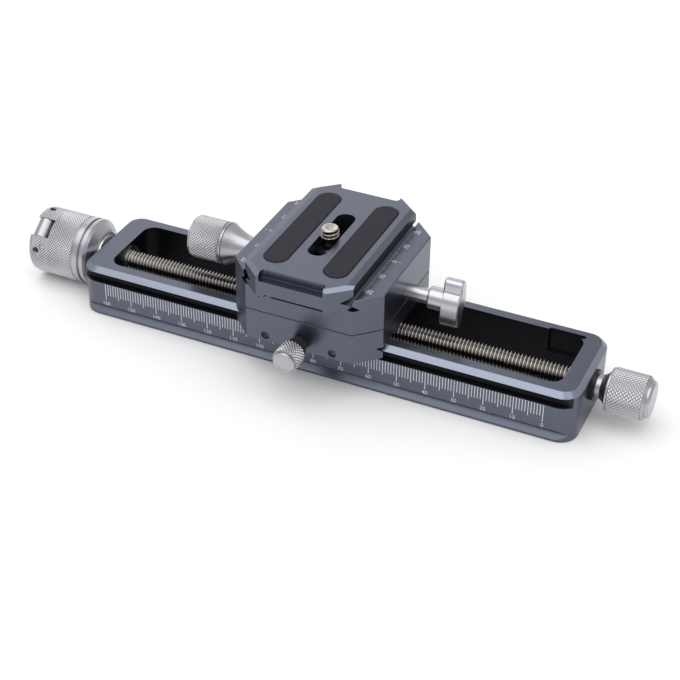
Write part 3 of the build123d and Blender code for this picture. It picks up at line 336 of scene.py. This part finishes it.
def block_metal(name, highlight_top, dark_low, dark_high, dark_from, middle):
    """The blocks' finish; faces that slope at 45 degrees above the highlight's top height get a
    painted highlight, faces that stand along the slide between the two dark heights, further out
    from the middle than dark_from, get painted shade in near black, and so does the seam."""
    metal, at = finish(name, blue_light, blue_metallic, 0.3)
    blast = grain(at, blast_scale)
    cloud = grain(at, cloud_scale)
    soft_normal, edge = worn_edge(at, edge_reach)
    axes = at.node("ShaderNodeSeparateXYZ", None, Vector=at)
    along, height = Value(at.tree, axes.outputs[0]), Value(at.tree, axes.outputs[2])
    facing = at.tree.nodes.new("ShaderNodeTexCoord").outputs["Normal"]
    facing = at.node("ShaderNodeSeparateXYZ", None, Vector=facing)
    aside, slope = Value(at.tree, facing.outputs[0]), Value(at.tree, facing.outputs[2])
    sideways = abs(aside).above(0.9, 0.05)
    sloping = slope.above(0.6, 0.01) * (1 - slope.above(0.8, 0.01))
    # Painted shade: the plate's long sides are coloured near black.
    side_shade = height.above(dark_low) * (1 - height.above(dark_high)) * sideways
    side_shade = side_shade * abs(along - middle).above(dark_from)
    # Painted highlight: the plate's 45 degree bevels take a paler blue.
    chamfer_highlight = sloping * height.above(highlight_top)
    # Painted shade along the seam between the two lower blocks.
    in_seam = 1 - abs(height - seam_height).above(seam_reach)
    # Paler near sharp edges: partly worn anodising, partly a painted highlight.
    colour = mixed(at, edge, mixed(at, cloud, blue_dark, blue_light), blue_edge_wear_and_highlight)
    colour = mixed(at, in_seam.math("MAXIMUM", side_shade), colour, near_black)
    to_shader(
        metal,
        Base_Color=mixed(at, chamfer_highlight, colour, chamfer_highlight_blue),
        Roughness=blast * 0.08 + 0.25,
        Normal=relief(at, blast, blast_depth, 0.5, soft_normal),
    )
    return metal


nowhere = 1.0
body_metal = block_metal(
    "blue_grey_anodised_blocks",
    highlight_top=nowhere, dark_low=nowhere, dark_high=nowhere, dark_from=nowhere, middle=0.0,
)
plate_metal = block_metal(
    "blue_grey_anodised_plate",
    highlight_top=plate_high.z - 0.002,
    dark_low=plate_low.z,
    dark_high=plate_high.z - 0.0006,
    dark_from=0.014,
    middle=(plate_low.x + plate_high.x) / 2,
)
dress(body_metal, "carriage_base", "cross_base")
dress(plate_metal, "top_plate")

# SCALES ON THE TWO STRIPS
# Twenty millimetres each side of the middle, numbered every ten, with a short index mark
# beside each nought, painted like the rail's.
backwards = -forwards
strip_reach = 20
strip_mark_width = 0.00018
strip_number_size = 0.0026
index_shift, index_length = 0.0014, 0.0010
steps = np.arange(-strip_reach, strip_reach + 1)
lengths = np.where(steps % 10 == 0, 0.0017, np.where(steps % 5 == 0, 0.0014, 0.0010))
for name, side, number_x, mark_x in (
    ("right_strip_scale", 1, base_high.x - 0.0049, 0.01800),
    ("left_strip_scale", -1, base_low.x + 0.0036, -0.02205),
):
    out = side * rightwards
    line = np.array([mark_x, 0.0, base_high.z + proud])
    parts = [marks(steps * millimetre, lengths, strip_mark_width, line, backwards, out)]
    index_line = np.array([number_x, 0.0, base_high.z + proud]) + index_shift * out
    index_mark = np.zeros(1), np.array([index_length])
    parts.append(marks(*index_mark, strip_mark_width, index_line, backwards, out))
    for tens in range(-strip_reach, strip_reach + 1, 10):
        middle = np.array([number_x, tens * millimetre, base_high.z + proud])
        parts.append(number(str(abs(tens)), strip_number_size, middle, side * backwards, -out))
    engraved(name, parts, upwards, scale_paint, "carriage")

# GRIP PADS
# Two pads of hard rubber bonded in the plate, with a fine pressed grain.
pad_light = (0.024, 0.022, 0.034)
pad_dark = (0.010, 0.009, 0.014)
pad_gap_shade = (0.003, 0.003, 0.003)
pad_edge_reach, pad_pit_depth = 0.0004, 0.00006
pad_rubber, at = finish("grip_rubber", (0.018, 0.016, 0.020), 0.0, 0.75)
pits = grain(at, 2600.0, 4.0)
soft_normal, edge = worn_edge(at, pad_edge_reach)
# Darker along the pads' edges: painted shade of the gap round each pad.
to_shader(
    pad_rubber,
    Base_Color=mixed(at, edge, mixed(at, pits, pad_dark, pad_light), pad_gap_shade),
    Roughness=pits * 0.25 + 0.6,
    Normal=relief(at, pits, pad_pit_depth, 0.8, soft_normal),
)
pad_shader = pad_rubber.node_tree.nodes["Principled BSDF"]
pad_shader.inputs["Specular IOR Level"].default_value = 0.35
dress(pad_rubber, "grip_pad_left", "grip_pad_right")

# LEAD SCREW
# Stainless rod with a rolled 8 mm thread of 1.25 mm pitch and turned journals.


def join_grid(rows, columns, closed, ring=False):
    """Quads between neighbouring points of a rows x columns grid. Closed joins the last column
    to the first, and ring joins the last row to the first."""
    row, column = np.meshgrid(
        np.arange(rows if ring else rows - 1),
        np.arange(columns if closed else columns - 1),
        indexing="ij",
    )
    here, below = row * columns, (row + 1) % rows * columns
    after = (column + 1) % columns
    quads = [here + column, below + column, below + after, here + after]
    return np.stack(quads, axis=-1).reshape(-1, 4)


def between(start, stop, radius, step):
    """Rows of (place, radius) from start to stop, about step apart."""
    count = int(round((stop - start) / step)) + 1
    return np.column_stack([np.linspace(start, stop, count), np.full(count, radius)])


def turned(profile, steps):
    """Place, radius and turn of a turned surface: the profile's (place, radius) rows carried
    round the axis in equal steps."""
    place, radius = np.vstack(profile).T
    turn = np.arange(steps) * 2 * np.pi / steps
    return np.meshgrid(place, turn, indexing="ij") + [np.repeat(radius[:, None], steps, axis=1)]


def threaded(place, radius, turn, pitch, start, stop, depth, steepness):
    """Radius less depth times a triangle wave of place / pitch - turn / 2 pi, whose steepness
    leaves flat crests and roots, faded out over half a pitch at both ends; and that wave."""
    phase = place / pitch - turn / (2 * np.pi)
    wave = np.abs(2 * (phase - np.floor(phase)) - 1)
    crest = 0.06
    groove = np.clip(steepness * wave - crest, 0, 1)
    run_in = np.clip((place - start) / (pitch / 2), 0, 1)
    run_out = np.clip((stop - place) / (pitch / 2), 0, 1)
    fade = run_in * run_out
    return radius - depth * groove * fade, groove * fade


def about(place, radius, turn, foot, along, side, up):
    """Points of a turned surface: foot + place along the axis + radius times
    (cos turn * side + sin turn * up)."""
    return (
        foot
        + place[..., None] * along
        + (radius * np.cos(turn))[..., None] * side
        + (radius * np.sin(turn))[..., None] * up
    ).reshape(-1, 3)


def kept_hollow(place):
    """The hollow kept with the points of a piece, 0 to 1; 0 on meshes without it."""
    kept = place.node("ShaderNodeAttribute", {"attribute_name": "hollow"})
    return Value(place.tree, kept.outputs["Fac"])


steel_dark = (0.46, 0.43, 0.405)
steel_light = (0.70, 0.665, 0.63)
screw_steel, at = finish("stainless_thread", (0.56, 0.53, 0.50), 1.0, 0.2)
streak = grain(at, 1500.0, 3.0)
# The thread's roots are darkened with the hollow: painted shade.
to_shader(
    screw_steel,
    Base_Color=mixed(
        at, kept_hollow(at), mixed(at, streak, steel_dark, steel_light), (0.035, 0.030, 0.027)
    ),
    Roughness=streak * 0.14 + 0.12,
)
screw_low, screw_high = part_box("lead_screw")
screw_height = (screw_low.z + screw_high.z) / 2
screw_r = (screw_high.z - screw_low.z) / 2
journal_r = 0.0030
shoulder_left, shoulder_right = -0.08055, 0.08265
tip = 0.0004
point = 0.0005
pitch, thread_depth = 0.00125, 0.00072
thread_left, thread_right = shoulder_left + point, shoulder_right - point
profile = [
    [(screw_low.x, 0.0), (screw_low.x, journal_r - tip), (screw_low.x + tip, journal_r)],
    [(shoulder_left, journal_r), (shoulder_left, screw_r - point)],
    between(thread_left, thread_right, screw_r, pitch / 8),
    [(shoulder_right, screw_r - point), (shoulder_right, journal_r)],
    [(screw_high.x - tip, journal_r), (screw_high.x, journal_r - tip), (screw_high.x, 0.0)],
]
place, turn, radius = turned(profile, 40)
radius, sunk = threaded(
    place, radius, turn, pitch, thread_left, thread_right, thread_depth, steepness=1.25
)
screw_foot = np.array([0.0, 0.0, screw_height])
points = about(place, radius, turn, screw_foot, rightwards, backwards, upwards)
quads = join_grid(*place.shape, True)[:, ::-1]
lead_thread = add_piece(
    "lead_screw_thread", points, quads, screw_steel, "screw", hollow=sunk * 0.85
)
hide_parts("lead_screw")

# CAMERA SCREW
# Turned stainless screw: a 1/4 inch thread of 20 turns to the inch above a plain shank,
# a round head under the guide disc with a hex socket, and a dimple in the thread's end.
stud_low, stud_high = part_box("camera_screw")
stud_pitch, groove_depth = 0.00127, 0.00062
head_r = (stud_high.x - stud_low.x) / 2
head_top = stud_low.z + 0.0021
head_edge = 0.0002
socket_r = 0.0023
socket_end = stud_low.z + 0.0016
shank_r = 0.0029
thread_r = 0.003175
thread_foot = stud_high.z - 0.0034
dimple_r, dimple_floor_r = 0.0019, 0.0007
dimple_end = stud_high.z - 0.0009
end_chamfer, end_edge = 0.0005, 0.0001
end_r = thread_r - 0.0008
profile = [
    [(socket_end, 0.0), (socket_end, socket_r), (stud_low.z, socket_r)],
    [(stud_low.z, head_r - head_edge), (stud_low.z + head_edge, head_r)],
    [(head_top - head_edge, head_r), (head_top, head_r - head_edge)],
    [(head_top, shank_r), (thread_foot, shank_r)],
    between(thread_foot, stud_high.z - end_chamfer, thread_r, stud_pitch / 10),
    [(stud_high.z - end_edge, thread_r - end_chamfer), (stud_high.z, end_r)],
    [(stud_high.z, dimple_r), (dimple_end, dimple_floor_r), (dimple_end, 0.0)],
]
place, turn, radius = turned(profile, 48)
half_side = np.pi / 6
to_flat = np.cos(half_side) / np.cos((turn + half_side) % (2 * half_side) - half_side)
in_socket = (radius == socket_r) & (place <= socket_end)
radius = np.where(in_socket, radius * to_flat, radius)
outside = radius > dimple_r
thread_start = thread_foot - stud_pitch / 3
grooved, sunk = threaded(
    place, radius, turn, stud_pitch, thread_start, stud_high.z, groove_depth, steepness=2.3
)
radius, sunk = np.where(outside, grooved, radius), sunk * outside
stud_foot = np.array([(stud_low.x + stud_high.x) / 2, (stud_low.y + stud_high.y) / 2, 0.0])
points = about(place, radius, turn, stud_foot, upwards, rightwards, backwards)
quads = join_grid(*place.shape, True)[:, ::-1]
stud = add_piece(
    "camera_screw_thread", points, quads, screw_steel, "camera_stud", hollow=sunk
)
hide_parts("camera_screw")

# STAINLESS AND BRONZE SMALL PARTS
# Turned bushes, washers, pins and shafts, left bright from the lathe.
bright_steel, at = finish("bright_turned_steel", (0.60, 0.59, 0.59), 1.0, 0.24)
streak = grain(at, 2500.0, 3.0)
to_shader(
    bright_steel,
    Base_Color=mixed(at, streak, (0.54, 0.53, 0.53), (0.68, 0.67, 0.67)),
    Roughness=streak * 0.15 + 0.18,
)
dress(
    bright_steel, "left_bearing", "thrust_washers", "lock_stud", "pinion_shaft", "rack",
    "gib_set_screws",
)
bronze, at = finish("bearing_bronze", (0.42, 0.27, 0.11), 1.0, 0.35)
patina = grain(at, 400.0, 3.0)
to_shader(
    bronze,
    Base_Color=mixed(at, patina, (0.34, 0.20, 0.08), (0.50, 0.33, 0.14)),
    Roughness=patina * 0.25 + 0.25,
)
dress(bronze, "lead_nut", "carriage_gib", "pinion_bush")

# BLACK SCREWS, PINS AND THE LOCK PAD
# Socket screws, the crank's pin and plunger and the right-hand bush, blackened in hot oil,
# and a turned acetal plug in front of the wing screw.
black_oxide, at = finish("black_oxide_steel", (0.018, 0.018, 0.02), 0.7, 0.38)
patina = grain(at, 900.0, 3.0)
to_shader(
    black_oxide,
    Base_Color=mixed(at, patina, (0.012, 0.012, 0.014), (0.03, 0.03, 0.033)),
    Roughness=patina * 0.2 + 0.3,
)
dress(
    black_oxide, "knob_set_screws", "lead_nut_screws", "cross_base_screws",
    "cross_knob_screw", "rack_screws", "crank_pin", "crank_plunger", "right_bearing",
    "screw_slider",
)
plug, at = finish("acetal_plug", (0.70, 0.69, 0.65), 0.0, 0.45)
patina = grain(at, 700.0)
to_shader(
    plug,
    Base_Color=mixed(at, patina, (0.62, 0.61, 0.57), (0.76, 0.75, 0.71)),
    Roughness=patina * 0.2 + 0.35,
)
dress(plug, "lock_pad")

# KNOBS AND CRANK
# Turned from aluminium and clear anodised satin silver; the grips have a diamond knurl
# rolled in, the rings, necks and caps stay smooth.
silver_light = (0.49, 0.485, 0.52)
silver_dark = (0.40, 0.395, 0.425)
silver_edge_wear_and_highlight = (0.50, 0.50, 0.53)
fine_depth = 0.000004
ring_waves = 26000.0
turned_reach = 0.00018
knob_silver, at = finish("satin_silver_anodised", silver_light, 1.0, 0.3)
fine = grain(at, 6000.0)
axes = at.node("ShaderNodeSeparateXYZ", None, Vector=at)
rings = (Value(at.tree, axes.outputs[0]) * ring_waves).math("SINE") * 0.5 + 0.5
soft_normal, edge = worn_edge(at, turned_reach)
# Paler near sharp edges: partly worn anodising, partly a painted highlight.
to_shader(
    knob_silver,
    Base_Color=mixed(at, edge, mixed(at, fine, silver_dark, silver_light), silver_edge_wear_and_highlight),
    Roughness=fine * 0.10 + 0.25,
    Normal=relief(at, rings * 0.6 + fine * 0.4, fine_depth, 0.4, soft_normal),
)
dress(knob_silver, "left_knob", "right_knob", "cross_knob", "crank_handle")

knurl_silver, at = finish("knurled_silver_anodised", (0.70, 0.695, 0.735), 1.0, 0.3)
fine = grain(at, 6000.0)
# Crests a paler silver than the smooth parts and valleys darkened with the hollow: painted
# highlight and painted shade.
to_shader(
    knurl_silver,
    Base_Color=mixed(at, kept_hollow(at), (0.80, 0.79, 0.83), (0.20, 0.20, 0.215)),
    Roughness=fine * 0.10 + 0.25,
    Normal=relief(at, fine, fine_depth, 0.4),
)


def knurl(
    around, lead, start, stop, tip_r, depth,
    first_turn=0.0, last_turn=2 * np.pi, fades=(True, True), holes=(),
):
    """Place, radius, turn, whole turn or not, and hollow of a diamond knurl. Its height over
    tip_r - depth is depth times the smaller of two triangle waves, of around * turn / 2 pi +
    place / lead and of the same with minus, with blunt tips. It fades at the ends asked for,
    and its first and last rows and the holes (place, turn, radius) lie below the grip."""
    per_ridge = 6
    bluntness = 1.4
    rim_width = 0.0003
    tuck_r = tip_r - depth - 0.0001
    hole_floor_r = tip_r - depth - 0.0004
    span = last_turn - first_turn
    whole = bool(np.isclose(span, 2 * np.pi))
    columns = int(round(around * per_ridge * span / (2 * np.pi)))
    turn = np.linspace(first_turn, last_turn, columns + 1)
    if whole:
        turn = turn[:-1]
    places = np.linspace(start, stop, int(round((stop - start) / lead * per_ridge)) + 1)
    places = np.concatenate([[start], places, [stop]])
    place, turn = np.meshgrid(places, turn, indexing="ij")
    left = around * turn / (2 * np.pi) + place / lead
    right = around * turn / (2 * np.pi) - place / lead
    left_wave = 1 - np.abs(2 * (left - np.floor(left)) - 1)
    right_wave = 1 - np.abs(2 * (right - np.floor(right)) - 1)
    ridge = np.minimum(left_wave, right_wave)
    rim = np.full(place.shape, 1.0)
    if fades[0]:
        rim = np.minimum(rim, place - start)
    if fades[1]:
        rim = np.minimum(rim, stop - place)
    if not whole:
        rim = np.minimum(rim, tip_r * np.minimum(turn - first_turn, last_turn - turn))
    rise = np.clip(ridge * bluntness, 0, 1) * np.clip(rim / rim_width, 0, 1)
    radius = tip_r - depth + depth * rise
    radius[0] = radius[-1] = tuck_r
    if not whole:
        radius[:, 0] = radius[:, -1] = tuck_r
    for hole_place, hole_turn, hole_r in holes:
        away = np.hypot(place - hole_place, tip_r * (turn - hole_turn))
        radius = np.where(away < hole_r, hole_floor_r, radius)
    return place, radius, turn, whole, 1 - rise


def grip(name, made, foot, along, side, up, body):
    """A knurled grip about an axis, from what knurl returns, closed on its inner side."""
    place, radius, turn, whole, sunk = made
    points = about(place, radius, turn, foot, along, side, up)
    quads = join_grid(*place.shape, whole, ring=True)[:, ::-1]
    return add_piece(name, points, quads, knurl_silver, body, False, sunk)


knurl_depth = 0.00028
knurl_lead, coarse_lead = 0.0011, 0.0013
knurl_height = 0.0003
pin_hole_r, plunger_hole_r = 0.0014, 0.0008
left_around, right_around, cross_around, lock_around = 68, 36, 42, 24
knob_low, knob_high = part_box("left_knob")
knob_r = (knob_high.z - knob_low.z) / 2
slot_turn = math.radians(125.5)
half_slot = math.asin(0.00375 / knob_r)
knurl_start_x = knob_low.x + 0.0009
slot_end_x = knob_low.x + 0.0076
knurl_end_x = knob_low.x + 0.0176
pin_place, pin_turn = knob_low.x + 0.0030, math.radians(47.2)
plunger_place, plunger_turn = knob_low.x + 0.0054, math.radians(161.0)
front_holes = (
    (pin_place, slot_turn + pin_turn, pin_hole_r), (plunger_place, plunger_turn, plunger_hole_r),
)
back_holes = ((pin_place, slot_turn - pin_turn + 2 * math.pi, pin_hole_r),)
grip(
    "left_knob_knurl_inner",
    knurl(
        left_around, knurl_lead, slot_end_x, knurl_end_x, knob_r, knurl_depth,
        fades=(False, True),
    ),
    screw_foot, rightwards, backwards, upwards, "screw",
)
for half_turn, holes, name in (
    (0, front_holes, "left_knob_knurl_front"), (math.pi, back_holes, "left_knob_knurl_back"),
):
    grip(
        name,
        knurl(
            left_around, knurl_lead, knurl_start_x, slot_end_x, knob_r, knurl_depth,
            slot_turn + half_turn + half_slot, slot_turn + half_turn + math.pi - half_slot,
            (True, False), holes,
        ),
        screw_foot, rightwards, backwards, upwards, "screw",
    )
right_low, right_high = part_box("right_knob")
right_r = (right_high.z - right_low.z) / 2 + knurl_height
right_start_x, right_end_x = right_low.x + 0.0046, right_high.x - 0.0022
grip(
    "right_knob_knurl",
    knurl(right_around, coarse_lead, right_start_x, right_end_x, right_r, knurl_depth),
    screw_foot, rightwards, backwards, upwards, "screw",
)
cross_low, cross_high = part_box("cross_knob")
cross_r = (cross_high.z - cross_low.z) / 2
cross_foot = np.array([0.0, 0.0, (cross_low.z + cross_high.z) / 2])
cross_start_x, cross_end_x = cross_low.x + 0.0008, cross_low.x + 0.0117
grip(
    "cross_knob_knurl",
    knurl(cross_around, knurl_lead, cross_start_x, cross_end_x, cross_r, knurl_depth),
    cross_foot, rightwards, backwards, upwards, "pinion",
)

# HEAD OF THE CARRIAGE LOCK
# Turned from aluminium like the other knobs, with a coarser knurl and a stepped, dished end.
lock_low, lock_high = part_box("lock_knob")
lock_body_r = (lock_high.z - lock_low.z) / 2
lock_r = lock_body_r + knurl_height
lock_foot = np.array([(lock_low.x + lock_high.x) / 2, 0.0, (lock_low.z + lock_high.z) / 2])
lock_start, lock_end = -lock_high.y, -lock_low.y
lock_edge = 0.0003
lock_step_r, lock_rim_r, lock_dish_r = 0.0038, 0.0034, 0.0029
lock_shoulder, lock_step = lock_end - 0.0013, lock_end - 0.0010
lock_rim, lock_dish = lock_end - 0.0004, lock_end - 0.0002
lock_knurl_end, lock_knurl_depth = lock_end - 0.0011, 0.00042
profile = [
    [(lock_start, 0.0), (lock_start, lock_body_r - lock_edge)],
    [(lock_start + lock_edge, lock_body_r)],
    [(lock_shoulder, lock_body_r), (lock_step, lock_step_r)],
    [(lock_rim, lock_step_r), (lock_end, lock_rim_r), (lock_end, lock_dish_r)],
    [(lock_dish, lock_dish_r - lock_edge), (lock_dish, 0.0)],
]
place, turn, radius = turned(profile, 64)
points = about(place, radius, turn, lock_foot, forwards, rightwards, upwards)
quads = join_grid(*place.shape, True)[:, ::-1]
lock_head = add_piece(
    "lock_knob_head", points, quads, knob_silver, "carriage_lock", smooth=False
)
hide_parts("lock_knob")
grip(
    "lock_knob_knurl",
    knurl(
        lock_around, coarse_lead, lock_start + lock_edge, lock_knurl_end, lock_r,
        lock_knurl_depth,
    ),
    lock_foot, forwards, rightwards, upwards, "carriage_lock",
)

# WING KNOB
# Cast in one from aluminium and tumbled smooth: a round hub, and two arms that leave its
# front and its back in an S.
wing_silver, at = finish("tumbled_silver_aluminium", (0.52, 0.515, 0.55), 1.0, 0.3)
fine = grain(at, 4000.0)
to_shader(
    wing_silver,
    Base_Color=mixed(at, fine, (0.47, 0.465, 0.50), (0.56, 0.555, 0.595)),
    Roughness=fine * 0.10 + 0.25,
    Normal=relief(at, fine, fine_depth, 0.4),
)
dress(wing_silver, "wing_stud")
wing_low, wing_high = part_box("wing_knob")
wing_foot = np.array([0.0, (wing_low.y + wing_high.y) / 2, (wing_low.z + wing_high.z) / 2])
hub_r = 0.00385
hub_edge = 0.0005
hub_start = wing_low.x + 0.0004
arms_start = wing_low.x + 0.0052
hub_end = arms_start + 0.001
profile = [
    [(hub_start, 0.0), (hub_start, hub_r - hub_edge)],
    [(hub_start + hub_edge / 3, hub_r - hub_edge / 3), (hub_start + hub_edge, hub_r)],
    [(hub_start + 1.6 * hub_edge, hub_r), (arms_start + 0.0006, hub_r)],
    [(hub_end, hub_r), (hub_end, 0.0)],
]
place, turn, radius = turned(profile, 72)
points = about(place, radius, turn, wing_foot, rightwards, backwards, upwards)
quads = join_grid(*place.shape, True)[:, ::-1]
hub = add_piece("wing_knob_hub", points, quads, wing_silver, "wing_lock")
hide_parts("wing_knob")
# The arms' outline is a smooth closed curve of parabolas whose tips' tangents meet at the
# knots: half of them, in millimetres forwards and upwards of the axis, and their opposites.
half_outline = np.array([
    (-4.1, 4.7), (-3.5, 7.3), (-1.5, 8.2), (0.4, 7.4), (0.95, 5.3), (1.05, 4.6), (1.35, 3.9),
    (2.05, 3.43), (3.43, 1.98), (3.96, 0.0), (4.02, -2.2),
]) * millimetre
knots = np.concatenate([half_outline, -half_outline])[:, None, :]
share = np.linspace(0, 1, 6, endpoint=False)[None, :, None]
before = (knots + np.roll(knots, 1, axis=0)) / 2
after = (knots + np.roll(knots, -1, axis=0)) / 2
outline = (1 - share) ** 2 * before + 2 * share * (1 - share) * knots + share**2 * after
outline = outline.reshape(-1, 2)
tangent = np.roll(outline, -1, axis=0) - np.roll(outline, 1, axis=0)
outwards = np.stack([-tangent[:, 1], tangent[:, 0]], axis=-1)
outwards = outwards / np.linalg.norm(tangent, axis=1)[:, None]
arms_edge, end_round = 0.0003, 0.0008
bend = np.linspace(0, np.pi / 2, 6)
round_place = wing_high.x - end_round + end_round * np.sin(bend)
round_inset = end_round * (1 - np.cos(bend))
rows = np.concatenate([
    [(arms_start, arms_edge, 0.0), (arms_start, arms_edge, 0.92), (arms_start, arms_edge, 1.0)],
    [(arms_start + arms_edge, 0.0, 1.0), (arms_start + 2 * arms_edge, 0.0, 1.0)],
    [(wing_high.x - 1.3 * end_round, 0.0, 1.0)],
    np.column_stack([round_place, round_inset, np.ones(6)]),
    [(wing_high.x, end_round, 0.0)],
])
place, inset, spread = rows.T[:, :, None, None]
section = (outline - inset * outwards) * spread
points = wing_foot + place * rightwards
points = (points + section[..., :1] * forwards + section[..., 1:] * upwards).reshape(-1, 3)
quads = join_grid(len(rows), len(outline), True)[:, ::-1]
add_piece("wing_knob_arms", points, quads, wing_silver, "wing_lock")

# COLLAR OF THE CARRIAGE LOCK
# A plain ring turned from aluminium and anodised nearly black, with a relief beside the block.
collar_metal, at = finish("dark_satin_collar", (0.065, 0.070, 0.082), 0.7, 0.36)
fine = grain(at, 5000.0)
soft_normal, edge = worn_edge(at, turned_reach)
# Paler near sharp edges: partly worn anodising, partly a painted highlight.
to_shader(
    collar_metal,
    Base_Color=mixed(at, edge, (0.062, 0.066, 0.078), (0.16, 0.17, 0.19)),
    Roughness=fine * 0.12 + 0.30,
    Normal=soft_normal,
)
collar_low, collar_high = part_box("lock_collar")
bore_low, bore_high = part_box("lock_stud")
bore_r = (bore_high.z - bore_low.z) / 2 + 0.0001
collar_start, collar_end = -collar_high.y, -collar_low.y
collar_r, relief_r, collar_edge = 0.0033, 0.0028, 0.0002
relief_end = collar_start + 0.0016
profile = [
    [(collar_start, bore_r), (collar_start, relief_r), (relief_end, relief_r)],
    [(relief_end, collar_r - collar_edge), (relief_end + collar_edge, collar_r)],
    [(collar_end, collar_r), (collar_end, bore_r)],
]
place, turn, radius = turned(profile, 64)
points = about(place, radius, turn, lock_foot, forwards, rightwards, upwards)
quads = join_grid(*place.shape, True, ring=True)[:, ::-1]
collar = add_piece(
    "lock_collar_relieved", points, quads, collar_metal, "carriage_lock",
    smooth=False,
)
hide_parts("lock_collar")

# FLOOR, LIGHTS AND CAMERA
# A plain pale table, large soft lights above and beside, and the photograph's viewpoint.
reach = 3.0
corners = [(-reach, -reach, 0), (reach, -reach, 0), (reach, reach, 0), (-reach, reach, 0)]
floor_mesh = bpy.data.meshes.new("studio_floor")
floor_mesh.from_pydata(corners, [], [(0, 1, 2, 3)])
floor_paint, at = finish("studio_floor_paint", (0.99, 0.99, 0.99), 0.0, 0.8)
floor_mesh.materials.append(floor_paint)
floor = bpy.data.objects.new("studio_floor", floor_mesh)
bpy.context.scene.collection.objects.link(floor)

world = bpy.data.worlds.new("studio")
world.use_nodes = True
background = world.node_tree.nodes["Background"]
background.inputs["Color"].default_value = (1.0, 1.0, 1.0, 1)
background.inputs["Strength"].default_value = 0.68
bpy.context.scene.world = world
bpy.context.scene.view_settings.view_transform = "Standard"


def soft_light(name, spot, aim, size, power):
    """A square area light that faces a point."""
    lamp = bpy.data.lights.new(name, "AREA")
    lamp.shape = "SQUARE"
    lamp.size = size
    lamp.energy = power
    holder = bpy.data.objects.new(name, lamp)
    holder.location = spot
    direction = Vector(aim) - Vector(spot)
    holder.rotation_euler = direction.to_track_quat("-Z", "Y").to_euler()
    bpy.context.scene.collection.objects.link(holder)


soft_light("ceiling_softbox", (-0.22, -0.45, 1.20), (-0.22, -0.45, 0.0), size=1.5, power=9.2)
soft_light("back_left_softbox", (-0.60, 0.76, 0.42), (0, 0, 0.02), size=0.9, power=1.6)
soft_light("right_softbox", (0.67, -0.23, 0.85), (0.04, 0, 0.02), size=0.45, power=0.6)

# The viewpoint was fitted to the scale's marks; the focal length and the optical centre are
# in the picture's pixels.
azimuth, elevation, roll = (math.radians(angle) for angle in (24.867, 35.029, 0.371))
distance = 0.557015
target = np.array([-0.00486, 0.0, 0.003367])
focal, centre_x, centre_y, picture = 1620.9, 324.07, 333.14, 680
back = math.sin(azimuth) * rightwards + math.cos(azimuth) * forwards
back = math.cos(elevation) * back + math.sin(elevation) * upwards
level = np.cross(upwards, back)
level = level / np.linalg.norm(level)
steep = np.cross(back, level)
camera_right = math.cos(roll) * level + math.sin(roll) * steep
camera_up = math.cos(roll) * steep - math.sin(roll) * level
spot = target + back * distance
lens = bpy.data.cameras.new("camera")
lens.sensor_width = 36.0
lens.lens = focal * lens.sensor_width / picture
lens.shift_x = (picture / 2 - centre_x) / picture
lens.shift_y = (centre_y - picture / 2) / picture
camera = bpy.data.objects.new("camera", lens)
axes = np.column_stack([camera_right, camera_up, back, spot])
camera.matrix_world = Matrix(axes.tolist() + [[0, 0, 0, 1]])
bpy.context.scene.collection.objects.link(camera)
bpy.context.scene.camera = camera
